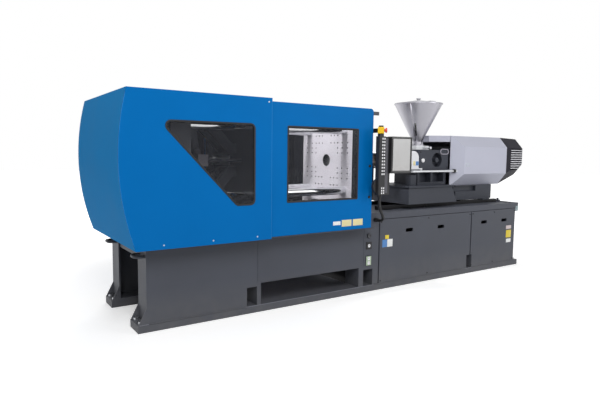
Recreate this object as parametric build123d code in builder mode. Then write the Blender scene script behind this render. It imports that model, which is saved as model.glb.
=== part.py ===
"""All-electric horizontal injection moulding machine of the 100 t size.

The frame has +X along the machine from the clamp end to the injection end, -Y towards
the operator and +Z up. The origin is on the floor, at the centre of the four anchor
holes. Everything is in millimetres.
"""
from math import acos, atan2, cos, degrees, radians, sin, sqrt, tan
import os

from build123d import *

os.makedirs("parts", exist_ok=True)

# Floor pattern and bed
anchor_span_x = 4260.0
anchor_span_y = 690.0
anchor_hole = 26.0
runner_length = 4320.0
runner_width = 185.0
runner_height = 56.0
bed_half_width = 438.0
bed_left = -2100.0
bed_right = 2082.0
clamp_deck_z = 596.0
unit_deck_z = 706.0
plate = 12.0
panel_gap = 16.0

# Stations along the machine
mould_face_x = -255.0
axis_z = 1170.0
leg_right = -1232.0
tray_left = -1204.0
tray_right = -210.0
tray_top_z = 228.0
service_left = -155.0
service_right = 18.0
door_split = 1320.0

# Clamp unit
tie_bar_spacing = 530.0
tie_bar_diameter = 70.0
platen_margin = 110.0
platen_size = tie_bar_spacing + 2 * platen_margin
fixed_thickness = 170.0
moving_thickness = 150.0
rear_thickness = 150.0
daylight = 820.0
open_stroke = 350.0
running_gap = 0.05
face_gap = 0.3
locating_hole = 110.0
mould_hole = 16.0
mould_hole_depth = 30.0

# Covers and gates
cover_half_width = 590.0
cover_sheet = 5.0
cover_left = -2255.0
cover_bulge = 56.0
cover_right = -1203.0
cover_bottom_z = 594.0
cover_top_z = 1630.0
gate_half_width = 574.0
gate_depth = 34.0
gate_left = -1230.0
gate_right = -202.0
gate_bottom_z = 606.0
gate_top_z = 1608.0
window_left = -1056.0
window_right = -365.0
window_bottom_z = 861.0
window_top_z = 1432.0
pane = 5.0

# Injection unit
screw_diameter = 36.0
barrel_diameter = 105.0
nozzle_tip_x = 75.0
feed_front_x = 776.0
feed_rear_x = 1235.0
feed_half_width = 190.0
hopper_x = 947.0
hopper_rim = 485.0
hopper_neck = 100.0
hopper_rim_z = 1750.0
hopper_neck_z = 1335.0
drive_front_x = 1245.0
drive_rear_x = 2080.0
drive_tail_x = 2445.0
drive_half_width = 300.0
drive_top_z = 1432.0
drive_bottom_z = 905.0
cover_wall = 4.0

# Console
post_x = -150.0
post_clearance = 18.0
post_diameter = 40.0
post_y = -gate_half_width - post_clearance - post_diameter / 2
console_depth = 78.0
console_front_y = post_y - console_depth


def mid(limits):
    """Middle of a pair of limits."""
    return (limits[0] + limits[1]) / 2


def block(x, y, z, mode=Mode.ADD):
    """Rectangular block between the limits x, y and z, in the open part."""
    with Locations((mid(x), mid(y), mid(z))):
        Box(x[1] - x[0], y[1] - y[0], z[1] - z[0], mode=mode)


def rod_x(x, y, z, radius, mode=Mode.ADD):
    """Round bar along X between the limits x, at the place y, z."""
    with Locations((mid(x), y, z)):
        Cylinder(radius, x[1] - x[0], rotation=(0, 90, 0), mode=mode)


def rod_y(x, y, z, radius, mode=Mode.ADD):
    """Round bar along Y between the limits y, at the place x, z."""
    with Locations((x, mid(y), z)):
        Cylinder(radius, y[1] - y[0], rotation=(90, 0, 0), mode=mode)


def rod_z(x, y, z, radius, mode=Mode.ADD):
    """Round bar along Z between the limits z, at the place x, y."""
    with Locations((x, y, mid(z))):
        Cylinder(radius, z[1] - z[0], mode=mode)


# Floor runners: flat bars under both long sides, with the anchor and jack holes in
# the ears that stand out past the bed, and gussets up to the left leg.
runner_inner = bed_half_width - runner_width
runner_y = bed_half_width - runner_width / 2
jack_offset = 55.0
jack_radius = 12.0
jack_x = anchor_span_x / 2
gusset_height = 110.0
gusset_plate = 10.0


def floor_runner(side):
    """One runner; side is -1 at the operator's side and 1 at the rear."""
    with BuildPart() as runner:
        block(
            (-runner_length / 2, runner_length / 2),
            (side * runner_y - runner_width / 2, side * runner_y + runner_width / 2),
            (0, runner_height),
        )
        for end in (-1, 1):
            x = end * jack_x
            rod_z(x, side * anchor_span_y / 2, (0, runner_height), anchor_hole / 2, Mode.SUBTRACT)
            for shift in (-jack_offset, jack_offset):
                rod_z(x, side * anchor_span_y / 2 + shift, (0, runner_height), jack_radius, Mode.SUBTRACT)
        for y in (runner_y - runner_width / 2, runner_y + runner_width / 2 - gusset_plate):
            first = min(side * y, side * (y + gusset_plate))
            with BuildSketch(Plane.XZ.offset(-first)):
                with BuildLine():
                    Polyline(
                        (bed_left, runner_height),
                        (bed_left, runner_height + gusset_height),
                        (-runner_length / 2 + 4, runner_height),
                        close=True,
                    )
                make_face()
            extrude(amount=-gusset_plate)
    return runner


with BuildPart() as floor_runners:
    add(floor_runner(-1).part)
    add(floor_runner(1).part)
floor_runners.part.label = "floor_runners"
export_step(floor_runners.part, "parts/floor_runners.step")

# Levelling screws: eight hexagon jack screws through the runner ears.
jack_head = 16.0
with BuildPart() as levelling_screws:
    for end in (-1, 1):
        for side in (-1, 1):
            for shift in (-jack_offset, jack_offset):
                place = (end * jack_x, side * anchor_span_y / 2 + shift)
                rod_z(place[0], place[1], (0, runner_height + 1), jack_radius - running_gap)
                with BuildSketch(Plane.XY.offset(runner_height)):
                    with Locations(place):
                        RegularPolygon(jack_radius * 1.5, 6)
                extrude(amount=jack_head)
levelling_screws.part.label = "levelling_screws"
export_step(levelling_screws.part, "parts/levelling_screws.step")

# Left leg boxes: folded plate boxes open to the middle of the machine, with the jack
# pocket cut up from the runner and a lifting loop of bent bar welded to the end.
loop_z = 520.0
loop_reach = 62.0
loop_width = 110.0
loop_bar = 22.0
loop_bend = 40.0
pocket_left = -1327.0
pocket_right = -1239.0
pocket_top = 204.0


def leg_box(side):
    """Leg under the clamp unit, on one side of the machine."""
    outer = side * bed_half_width
    inner = side * runner_inner
    y = (min(outer, inner), max(outer, inner))
    hollow = (min(outer - side * plate, inner), max(outer - side * plate, inner))
    with BuildPart() as leg:
        block((bed_left, leg_right), y, (runner_height, clamp_deck_z - plate))
        block((leg_right, tray_left), y, (runner_height, tray_top_z))
        block(
            (bed_left + plate, pocket_left - plate),
            hollow,
            (runner_height + plate, clamp_deck_z - 2 * plate),
            Mode.SUBTRACT,
        )
        block(
            (pocket_left, leg_right - plate),
            hollow,
            (pocket_top + plate, clamp_deck_z - 2 * plate),
            Mode.SUBTRACT,
        )
        block((pocket_left, pocket_right), y, (runner_height, pocket_top), Mode.SUBTRACT)
        centre = side * runner_y
        with BuildLine() as loop_path:
            FilletPolyline(
                (bed_left, centre - loop_width / 2, loop_z),
                (bed_left - loop_reach, centre - loop_width / 2, loop_z),
                (bed_left - loop_reach, centre + loop_width / 2, loop_z),
                (bed_left, centre + loop_width / 2, loop_z),
                radius=loop_bend,
            )
        with BuildSketch(Plane(origin=loop_path.line @ 0, z_dir=loop_path.line % 0)):
            Circle(loop_bar / 2)
        sweep(path=loop_path.line)
    return leg


with BuildPart() as leg_boxes:
    add(leg_box(-1).part)
    add(leg_box(1).part)
leg_boxes.part.label = "leg_boxes"
export_step(leg_boxes.part, "parts/leg_boxes.step")

# Side beams: deep folded channels beside the drop opening, above the tray space. The rear one
# has a sheet below it that closes the back of the tray space.
drop_half_width = 250.0


def side_beam(side):
    """Channel that carries the clamp deck beside the drop opening."""
    outer = side * bed_half_width
    inner = side * runner_inner
    y = (min(outer, inner), max(outer, inner))
    hollow = (min(outer - side * plate, inner), max(outer - side * plate, inner))
    with BuildPart() as beam:
        block((leg_right, service_left), y, (tray_top_z, clamp_deck_z - plate))
        block(
            (leg_right + plate, service_left - plate),
            hollow,
            (tray_top_z + plate, clamp_deck_z - 2 * plate),
            Mode.SUBTRACT,
        )
        if side > 0:
            sheet_y = (bed_half_width - plate, bed_half_width)
            block((tray_left, tray_right), sheet_y, (runner_height, tray_top_z))
    return beam


with BuildPart() as side_beams:
    add(side_beam(-1).part)
    add(side_beam(1).part)
side_beams.part.label = "side_beams"
export_step(side_beams.part, "parts/side_beams.step")

# Step in the deck behind the fixed platen, with a cheek at each side of its foot.
deck_step_x = mould_face_x + fixed_thickness + 25.0
cheek_inner = platen_size / 2 + 3.0

# Clamp deck: the machined plate that the platens slide on, with the drop opening.
with BuildPart() as clamp_deck:
    deck_z = (clamp_deck_z - plate, clamp_deck_z)
    block((bed_left, service_left), (-bed_half_width, bed_half_width), deck_z)
    block((service_left, deck_step_x), (-cheek_inner, cheek_inner), deck_z)
    block(
        (tray_left + 20, tray_right - 20),
        (-drop_half_width, drop_half_width),
        (clamp_deck_z - plate, clamp_deck_z),
        Mode.SUBTRACT,
    )
clamp_deck.part.label = "clamp_deck"
export_step(clamp_deck.part, "parts/clamp_deck.step")

# Drop chute: two sloping sheets that hang from the deck's opening.
chute_sheet = 3.0
chute_reach = 330.0
chute_slope = 90.0
with BuildPart() as drop_chute:
    for side in (-1, 1):
        top = side * drop_half_width
        foot = side * (drop_half_width - chute_slope)
        with BuildSketch(Plane.YZ.offset(tray_left + 22)):
            with BuildLine():
                Polyline(
                    (top, clamp_deck_z),
                    (top, clamp_deck_z - plate),
                    (foot, clamp_deck_z - chute_reach),
                    (foot - side * chute_sheet, clamp_deck_z - chute_reach),
                    (top - side * chute_sheet, clamp_deck_z - plate),
                    (top - side * chute_sheet, clamp_deck_z),
                    close=True,
                )
            make_face()
        extrude(amount=tray_right - tray_left - 44)
drop_chute.part.label = "drop_chute"
export_step(drop_chute.part, "parts/drop_chute.step")

# Cross members: box beams between the two side frames, low down and under the deck, and the
# plate that makes the floor of the tray space.
tray_floor = 6.0
cross_width = 120.0
cross_high = (clamp_deck_z - plate - 100, clamp_deck_z - plate)
with BuildPart() as cross_members:
    for x in (bed_left + plate, pocket_left - cross_width - plate):
        block((x, x + cross_width), (-runner_inner, runner_inner), cross_high)
    for x in (-1650.0, service_right + 60, 1100.0, bed_right - cross_width - plate):
        block((x, x + cross_width), (-runner_inner, runner_inner), (0, runner_height))
    tray_z = (runner_height - tray_floor, runner_height)
    block((tray_left, tray_right), (-runner_inner, runner_inner), tray_z)
cross_members.part.label = "cross_members"
export_step(cross_members.part, "parts/cross_members.step")

# Service column: the post right of the tray space, with a jack pocket at its foot and
# seats for the outlets in its face.
service_pocket = (-156.0, -47.0)
outlet_x = -98.0
round_outlet_z = 506.0
round_outlet = 44.0
single_outlet_z = 418.0
twin_outlet_z = 282.0
outlet_width = 66.0
outlet_recess = 8.0
gland_place = (-28.0, 646.0)
gland_length = 22.0


def service_post(side, outlets):
    """Post beside the injection bed, with the outlet seats where outlets is true."""
    outer = side * bed_half_width
    inner = side * runner_inner
    y = (min(outer, inner), max(outer, inner))
    with BuildPart() as post:
        block((tray_right, service_right), y, (runner_height, tray_top_z))
        block((service_left, service_right), y, (tray_top_z, clamp_deck_z - plate))
        block((deck_step_x, service_right), y, (clamp_deck_z - plate, unit_deck_z - 2 * plate))
        cheek = (min(outer, side * cheek_inner), max(outer, side * cheek_inner))
        block((service_left, deck_step_x), cheek, (clamp_deck_z - plate, unit_deck_z - 2 * plate))
        block(service_pocket, y, (runner_height, pocket_top), Mode.SUBTRACT)
        if outlets:
            recess = (outer, outer + outlet_recess)
            rod_y(outlet_x, recess, round_outlet_z, round_outlet / 2, Mode.SUBTRACT)
            half = outlet_width / 2
            block(
                (outlet_x - half, outlet_x + half),
                recess,
                (single_outlet_z - half, single_outlet_z + half),
                Mode.SUBTRACT,
            )
            block(
                (outlet_x - half, outlet_x + half),
                recess,
                (twin_outlet_z - 1.4 * half, twin_outlet_z + 1.4 * half),
                Mode.SUBTRACT,
            )
    return post


with BuildPart() as service_columns:
    add(service_post(-1, True).part)
    add(service_post(1, False).part)
service_columns.part.label = "service_columns"
export_step(service_columns.part, "parts/service_columns.step")

# Service outlets: round connector, single and twin socket, seated in the column.
with BuildPart() as service_outlets:
    seat_y = -bed_half_width + outlet_recess
    rod_y(outlet_x, (-bed_half_width - 6, seat_y), round_outlet_z, round_outlet / 2 - 1)
    rod_y(outlet_x, (-bed_half_width - 6, seat_y - 4), round_outlet_z, round_outlet / 2 - 7, Mode.SUBTRACT)
    socket_z = ((single_outlet_z, 1.0), (twin_outlet_z, 1.4))
    for z, tall in socket_z:
        half = outlet_width / 2 - 1
        block(
            (outlet_x - half, outlet_x + half),
            (-bed_half_width - 4, seat_y),
            (z - tall * half, z + tall * half),
        )
        for shift in (0,) if tall == 1.0 else (-half * 0.68, half * 0.68):
            rod_y(outlet_x, (-bed_half_width - 4, seat_y - 3), z + shift, 17, Mode.SUBTRACT)
    rod_y(gland_place[0], (-bed_half_width - gland_length, -bed_half_width), gland_place[1], 19)
service_outlets.part.label = "service_outlets"
export_step(service_outlets.part, "parts/service_outlets.step")

# Injection bed: the deck tray with its lip, the end bracket under it and the stop on it.
lip = 55.0
panel_top_z = 643.0
deck_recess_x = (340.0, 589.0)
deck_recess_y = -220.0
with BuildPart() as unit_deck:
    block(
        (service_left, bed_right + lip),
        (-bed_half_width, bed_half_width),
        (unit_deck_z - 2 * plate, unit_deck_z),
    )
    block(
        (service_left + lip, bed_right),
        (-bed_half_width + lip / 2, bed_half_width - lip / 2),
        (unit_deck_z - plate / 2, unit_deck_z),
        Mode.SUBTRACT,
    )
    block(
        (service_left, deck_step_x),
        (-cheek_inner, cheek_inner),
        (unit_deck_z - 2 * plate, unit_deck_z),
        Mode.SUBTRACT,
    )
    for x in deck_recess_x:
        with BuildSketch(Plane.XY.offset(unit_deck_z - plate / 2)):
            with Locations((x, deck_recess_y)):
                SlotOverall(110, 50)
        extrude(amount=-plate, mode=Mode.SUBTRACT)
    stop_x = bed_right + lip / 2
    block((stop_x - 20, stop_x + 20), (-210, -170), (unit_deck_z, unit_deck_z + 14))
    rod_z(stop_x, -190, (unit_deck_z + 14, unit_deck_z + 34), 12)
    bracket_y = (-bed_half_width, -bed_half_width + 60)
    bracket_z = (611, unit_deck_z - 2 * plate)
    block((bed_right + face_gap, bed_right + 50), bracket_y, bracket_z)
unit_deck.part.label = "unit_deck"
export_step(unit_deck.part, "parts/unit_deck.step")

post_width = 60.0
panel_pocket = (door_split - 55, door_split + 28)
door_seat = bed_half_width - plate


def unit_frame_side(side):
    """Side frame of the injection bed: top rail, bottom rail and three posts."""
    outer = side * door_seat
    inner = side * runner_inner
    y = (min(outer, inner), max(outer, inner))
    with BuildPart() as frame:
        rail_y = (min(side * bed_half_width, inner), max(side * bed_half_width, inner))
        block((service_right, bed_right), rail_y, (panel_top_z + 5, unit_deck_z - 2 * plate))
        for x in (service_right, door_split - post_width / 2, bed_right - post_width):
            block((x, x + post_width), y, (runner_height, panel_top_z + 5))
        block(panel_pocket, y, (runner_height, pocket_top), Mode.SUBTRACT)
    return frame


with BuildPart() as unit_frames:
    add(unit_frame_side(-1).part)
    add(unit_frame_side(1).part)
unit_frames.part.label = "unit_frames"
export_step(unit_frames.part, "parts/unit_frames.step")

# End plate that closes the injection bed at the right.
with BuildPart() as end_plate:
    block((bed_right - plate, bed_right), (-runner_inner, runner_inner), (runner_height, unit_deck_z - 2 * plate))
    with BuildSketch(Plane.YZ.offset(bed_right)):
        for row in range(6):
            with Locations((0, 180 + 26 * row)):
                SlotOverall(260, 10)
    extrude(amount=-plate, mode=Mode.SUBTRACT)
end_plate.part.label = "end_plate"
export_step(end_plate.part, "parts/end_plate.step")

# Lift-off cabinet panels with pressed grab recesses and the corner pocket between them.
grab_z = 523.0
grab_width = 96.0
grab_height = 34.0
panel_bottom = 58.0


def cabinet_panel(x, grabs, side):
    """Sheet panel between the limits x with a grab slot at each place in grabs."""
    outer = side * bed_half_width
    inner = side * door_seat
    y = (min(outer, inner), max(outer, inner))
    with BuildPart() as panel:
        block(x, y, (panel_bottom, panel_top_z))
        low = max(x[0], panel_pocket[0])
        high = min(x[1], panel_pocket[1])
        block((low, high), y, (panel_bottom, 194.0), Mode.SUBTRACT)
        for place in grabs:
            with BuildSketch(Plane.XZ.offset(-y[0])):
                with Locations((place, grab_z)):
                    RectangleRounded(grab_width, grab_height, 10)
            extrude(amount=-plate, mode=Mode.SUBTRACT)
    return panel


panel_a = (service_right + panel_gap, door_split - panel_gap / 2)
panel_b = (door_split + panel_gap / 2, bed_right)
grabs_a = (panel_a[0] + 377, panel_a[1] - 460)
grabs_b = (panel_b[0] + 204, panel_b[1] - 198)
with BuildPart() as front_panels:
    add(cabinet_panel(panel_a, grabs_a, -1).part)
    add(cabinet_panel(panel_b, grabs_b, -1).part)
front_panels.part.label = "front_panels"
export_step(front_panels.part, "parts/front_panels.step")
with BuildPart() as rear_panels:
    add(cabinet_panel(panel_a, grabs_a, 1).part)
    add(cabinet_panel(panel_b, grabs_b, 1).part)
rear_panels.part.label = "rear_panels"
export_step(rear_panels.part, "parts/rear_panels.step")

# Drive cabinet inside the bed: mounting plate with the servo drive modules.
with BuildPart() as drive_cabinet:
    block((150, 1250), (-150, -140), (runner_height, 600))
    for number in range(5):
        x = 190 + 210 * number
        block((x, x + 150), (-330, -150), (300, 560))
drive_cabinet.part.label = "drive_cabinet"
export_step(drive_cabinet.part, "parts/drive_cabinet.step")

# Fixed platen: casting with the mould bolt pattern, locating hole, nozzle cone, tie-bar
# bores and two feet on the deck.
hole_y_inner = (66.0, 115.0, 165.0)
hole_y_outer = (165.0, 228.0, 305.0)
hole_z_far = 225.0
hole_z_wide = 159.0
hole_z_near = (68.0, 113.0)
foot_width = 130.0
platen_foot_z = axis_z - platen_size / 2
tie_hole = tie_bar_diameter / 2 + running_gap
tie_places = [
    (y * tie_bar_spacing / 2, axis_z + z * tie_bar_spacing / 2) for y in (-1, 1) for z in (-1, 1)
]


def mould_hole_places():
    """Places of the mould bolt holes from the machine axis, as (y, z)."""
    quarter = [(y, hole_z_far) for y in hole_y_inner]
    quarter += [(y, hole_z_wide) for y in hole_y_inner]
    quarter += [(y, hole_z_wide) for y in hole_y_outer[1:]]
    quarter += [(y, z) for y in hole_y_outer for z in hole_z_near]
    return [(a * y, b * z) for y, z in quarter for a in (-1, 1) for b in (-1, 1)]


def platen(x, face_x, depth_sign, holes):
    """Platen plate between the limits x with bores for the tie bars and mould holes."""
    with BuildPart() as casting:
        with BuildSketch(Plane.YZ.offset(x[0])):
            with Locations((0, axis_z)):
                RectangleRounded(platen_size, platen_size, 40)
        extrude(amount=x[1] - x[0])
        with BuildSketch(Plane.YZ.offset(x[0])):
            with Locations(*tie_places):
                Circle(tie_hole)
        extrude(amount=x[1] - x[0], mode=Mode.SUBTRACT)
        if holes:
            with BuildSketch(Plane.YZ.offset(face_x)):
                with Locations((0, axis_z)):
                    with Locations(*mould_hole_places()):
                        RegularPolygon(mould_hole / 2, 6)
                    with GridLocations(2 * hole_y_inner[-1], 2 * hole_z_far, 2, 2):
                        Circle(mould_hole / 2)
            extrude(amount=depth_sign * mould_hole_depth, mode=Mode.SUBTRACT)
    return casting


fixed_x = (mould_face_x, mould_face_x + fixed_thickness)
nozzle_cone = 240.0
with BuildPart() as fixed_platen:
    add(platen(fixed_x, mould_face_x, 1, True).part)
    with BuildSketch(Plane.XY.offset(axis_z)):
        with BuildLine():
            Polyline(
                (fixed_x[0], 0),
                (fixed_x[0], locating_hole / 2),
                (fixed_x[0] + 40, locating_hole / 2),
                (fixed_x[1], nozzle_cone / 2),
                (fixed_x[1], 0),
                close=True,
            )
        make_face()
    revolve(axis=Axis((0, 0, axis_z), (1, 0, 0)), mode=Mode.SUBTRACT)
    for side in (-1, 1):
        outer = side * platen_size / 2
        inner = side * (platen_size / 2 - foot_width)
        block(fixed_x, (min(outer, inner), max(outer, inner)), (clamp_deck_z, platen_foot_z + 60))
fixed_platen.part.label = "fixed_platen"
export_step(fixed_platen.part, "parts/fixed_platen.step")

# Moving platen: plate with the mould pattern, ejector holes, two toggle ears with their
# pins behind, and slide shoes on the deck.
moving_face = mould_face_x - daylight
moving_x = (moving_face - moving_thickness, moving_face)
pivot_z = 92.0
ear_radius = 44.0
pin_radius = 24.0
front_reach = 68.0
rear_reach = 68.0
lane_inner = 30.0
lane_middle = 62.0
lane_outer = 100.0
front_pivot_x = moving_x[0] - front_reach
shoe_width = 110.0
ejector_y = 130.0
ejector_rod = 12.0


def ear(x, z, base_x, half_y):
    """Lug from the plane base_x out to a round end at x and z, half_y to each side."""
    with BuildPart() as lug:
        with BuildSketch(Plane.XZ.offset(-half_y)):
            with Locations((x, z)):
                Circle(ear_radius)
            with Locations((mid((x, base_x)), z)):
                Rectangle(abs(base_x - x), 2 * ear_radius)
        extrude(amount=2 * half_y)
    return lug


with BuildPart() as moving_platen:
    add(platen(moving_x, moving_face, -1, True).part)
    for rise in (-1, 1):
        z = axis_z + rise * pivot_z
        add(ear(front_pivot_x, z, moving_x[0], lane_middle).part)
        rod_y(front_pivot_x, (-lane_outer, lane_outer), z, pin_radius)
        rod_x(moving_x, rise * ejector_y, axis_z, ejector_rod + running_gap, Mode.SUBTRACT)
    for side in (-1, 1):
        outer = side * platen_size / 2
        inner = side * (platen_size / 2 - shoe_width)
        block(
            (moving_x[0] - 60, moving_x[1]),
            (min(outer, inner), max(outer, inner)),
            (clamp_deck_z + face_gap, platen_foot_z + 60),
        )
moving_platen.part.label = "moving_platen"
export_step(moving_platen.part, "parts/moving_platen.step")

# Rear platen: plate with the toggle ears and pins, the screw bore and two pressed-in
# guide rods for the crosshead.
straight_reach = 735.0
rear_pivot_x = front_pivot_x + open_stroke - straight_reach
rear_front_x = rear_pivot_x - rear_reach
rear_x = (rear_front_x - rear_thickness, rear_front_x)
screw_radius = 25.0
screw_end_x = rear_pivot_x + 435.0
guide_y = 180.0
guide_radius = 15.0
with BuildPart() as rear_platen:
    add(platen(rear_x, rear_x[1], -1, False).part)
    for rise in (-1, 1):
        z = axis_z + rise * pivot_z
        add(ear(rear_pivot_x, z, rear_front_x, lane_inner).part)
        rod_y(rear_pivot_x, (-lane_middle, lane_middle), z, pin_radius)
    rod_x(rear_x, 0, axis_z, screw_radius + running_gap, Mode.SUBTRACT)
    for side in (-1, 1):
        rod_x((rear_front_x, screw_end_x), side * guide_y, axis_z, guide_radius)
        outer = side * platen_size / 2
        inner = side * (platen_size / 2 - shoe_width)
        block(
            rear_x,
            (min(outer, inner), max(outer, inner)),
            (clamp_deck_z + face_gap, platen_foot_z + 60),
        )
rear_platen.part.label = "rear_platen"
export_step(rear_platen.part, "parts/rear_platen.step")

# Tie bars: four ground bars, threaded at the left, with a flanged nut behind the fixed
# platen.
tie_left = rear_x[0] - 200.0
tie_nut = 62.0
tie_nut_length = 55.0
with BuildPart() as tie_bars:
    for y, z in tie_places:
        rod_x((tie_left, fixed_x[1] + tie_nut_length + 10), y, z, tie_bar_diameter / 2)
        rod_x((fixed_x[1], fixed_x[1] + tie_nut_length), y, z, tie_nut)
tie_bars.part.label = "tie_bars"
export_step(tie_bars.part, "parts/tie_bars.step")

# Mould-height nuts: four toothed nuts on the tie-bar threads behind the rear platen.
height_nut_length = 60.0
nut_teeth = 24
nut_tooth = 5.0
with BuildPart() as height_nuts:
    for y, z in tie_places:
        with BuildSketch(Plane.YZ.offset(rear_x[0] - height_nut_length)):
            with Locations((y, z)):
                Circle(tie_nut)
                with PolarLocations(tie_nut, nut_teeth):
                    Rectangle(2 * nut_tooth, nut_tooth)
                Circle(tie_hole, mode=Mode.SUBTRACT)
        extrude(amount=height_nut_length)
height_nuts.part.label = "height_nuts"
export_step(height_nuts.part, "parts/height_nuts.step")

# Toggle: rear links in the middle lanes, front links in the outer lanes and crosshead
# links in the centre lane, so that they fold past each other.
rear_link = 315.0
front_link = straight_reach - rear_link
rest_reach = straight_reach - open_stroke
link_half = 40.0
rear_angle = (rear_link**2 + rest_reach**2 - front_link**2) / (2 * rear_link * rest_reach)
knee_x = rear_pivot_x + rear_link * rear_angle
knee_rise = rear_link * sqrt(1 - rear_angle**2)
drive_radius = 200.0
drive_lag = 10.0
link_hole = pin_radius + running_gap
drive_pin = 16.0
tie_along = 270.0
tie_off = 22.0
tie_radius = 13.0


def turned(x, z, rise):
    """Place at x along and z above the axis, mirrored below it when rise is -1."""
    return (x, axis_z + rise * z)


def link_plate(start, end, half, holes, y):
    """Plate with round ends from start to end, bored at both, between the limits y."""
    run = (end[0] - start[0], end[1] - start[1])
    length = sqrt(run[0] ** 2 + run[1] ** 2)
    slope = degrees(atan2(run[1], run[0]))
    with BuildPart() as link:
        with BuildSketch(Plane.XZ.offset(-y[0])):
            with Locations((mid((start[0], end[0])), mid((start[1], end[1])))):
                SlotCenterToCenter(length, 2 * half, rotation=slope)
            for place, radius in ((start, holes[0]), (end, holes[1])):
                with Locations(place):
                    Circle(radius, mode=Mode.SUBTRACT)
        extrude(amount=-(y[1] - y[0]))
    return link


def rear_toggle(rise):
    """Rear link pair with its tie tube and the lugs for the crosshead link."""
    pivot = turned(rear_pivot_x, pivot_z, rise)
    knee = turned(knee_x, pivot_z + knee_rise, rise)
    lug = turned(drive_x, drive_z, rise)
    tie = turned(
        rear_pivot_x + tie_along * rear_angle - tie_off * sqrt(1 - rear_angle**2),
        pivot_z + tie_along * sqrt(1 - rear_angle**2) + tie_off * rear_angle,
        rise,
    )
    with BuildPart() as link:
        for side in (-1, 1):
            near = side * (lane_inner + face_gap)
            far = side * (lane_middle - face_gap)
            y = (min(near, far), max(near, far))
            add(link_plate(pivot, knee, link_half, (link_hole, pin_radius), y).part)
            rod_y(knee[0], y, knee[1], pin_radius)
            rod_y(lug[0], y, lug[1], drive_pin + 14)
        reach = lane_inner + face_gap
        rod_y(tie[0], (-reach, reach), tie[1], tie_radius)
    return link


def front_toggle(rise):
    """Front link pair, bored for the moving platen's pin and open at the knee."""
    pivot = turned(front_pivot_x, pivot_z, rise)
    knee = turned(knee_x, pivot_z + knee_rise, rise)
    with BuildPart() as link:
        for side in (-1, 1):
            near = side * (lane_middle + face_gap)
            far = side * lane_outer
            y = (min(near, far), max(near, far))
            add(link_plate(pivot, knee, link_half, (link_hole, pin_radius), y).part)
        tie_x = mid((pivot[0], knee[0]))
        tie_z = mid((pivot[1], knee[1]))
        rod_y(tie_x, (-lane_outer, lane_outer), tie_z, 16)
    return link


lug_angle = acos(rear_angle) - radians(drive_lag)
drive_x = rear_pivot_x + drive_radius * cos(lug_angle)
drive_z = pivot_z + drive_radius * sin(lug_angle)
upper_rear_link = rear_toggle(1)
upper_rear_link.part.label = "upper_rear_link"
export_step(upper_rear_link.part, "parts/upper_rear_link.step")
lower_rear_link = rear_toggle(-1)
lower_rear_link.part.label = "lower_rear_link"
export_step(lower_rear_link.part, "parts/lower_rear_link.step")
upper_front_link = front_toggle(1)
upper_front_link.part.label = "upper_front_link"
export_step(upper_front_link.part, "parts/upper_front_link.step")
lower_front_link = front_toggle(-1)
lower_front_link.part.label = "lower_front_link"
export_step(lower_front_link.part, "parts/lower_front_link.step")

# Crosshead: block on two guide rods, driven by the screw, with the pins of its links.
crosshead_pivot_x = rear_pivot_x + 120.0
crosshead_pivot_z = 60.0
crosshead_x = (crosshead_pivot_x - 60, crosshead_pivot_x + 20)
crosshead_half_y = 205.0
crosshead_half_z = 45.0
drive_half = 25.0
fork_outer = 56.0
with BuildPart() as crosshead:
    block(
        crosshead_x,
        (-crosshead_half_y, crosshead_half_y),
        (axis_z - crosshead_half_z, axis_z + crosshead_half_z),
    )
    block(
        crosshead_x,
        (-lane_inner, lane_inner),
        (axis_z + crosshead_pivot_z - drive_half - 8, axis_z + crosshead_half_z),
        Mode.SUBTRACT,
    )
    block(
        crosshead_x,
        (-lane_inner, lane_inner),
        (axis_z - crosshead_half_z, axis_z - crosshead_pivot_z + drive_half + 8),
        Mode.SUBTRACT,
    )
    for rise in (-1, 1):
        z = axis_z + rise * crosshead_pivot_z
        for side in (-1, 1):
            near = side * lane_inner
            far = side * fork_outer
            rod_y(crosshead_pivot_x, (min(near, far), max(near, far)), z, drive_half)
        rod_y(crosshead_pivot_x, (-fork_outer, fork_outer), z, drive_pin)
    rod_x(crosshead_x, 0, axis_z, screw_radius + running_gap, Mode.SUBTRACT)
    for side in (-1, 1):
        rod_x(crosshead_x, side * guide_y, axis_z, guide_radius + running_gap, Mode.SUBTRACT)
crosshead.part.label = "crosshead"
export_step(crosshead.part, "parts/crosshead.step")


def crosshead_link(rise):
    """Single link in the centre lane, from the crosshead's pin to the rear link's lug."""
    start = turned(crosshead_pivot_x, crosshead_pivot_z, rise)
    end = turned(drive_x, drive_z, rise)
    reach = lane_inner - face_gap
    return link_plate(start, end, drive_half, (drive_pin + running_gap, drive_pin), (-reach, reach))


upper_drive_link = crosshead_link(1)
upper_drive_link.part.label = "upper_drive_link"
export_step(upper_drive_link.part, "parts/upper_drive_link.step")
lower_drive_link = crosshead_link(-1)
lower_drive_link.part.label = "lower_drive_link"
export_step(lower_drive_link.part, "parts/lower_drive_link.step")

# Clamp screw: ball screw through the rear platen and the crosshead.
bearing_length = 92.0
with BuildPart() as clamp_screw:
    rod_x((rear_x[0] - bearing_length + 8, screw_end_x), 0, axis_z, screw_radius)
clamp_screw.part.label = "clamp_screw"
export_step(clamp_screw.part, "parts/clamp_screw.step")

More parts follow.
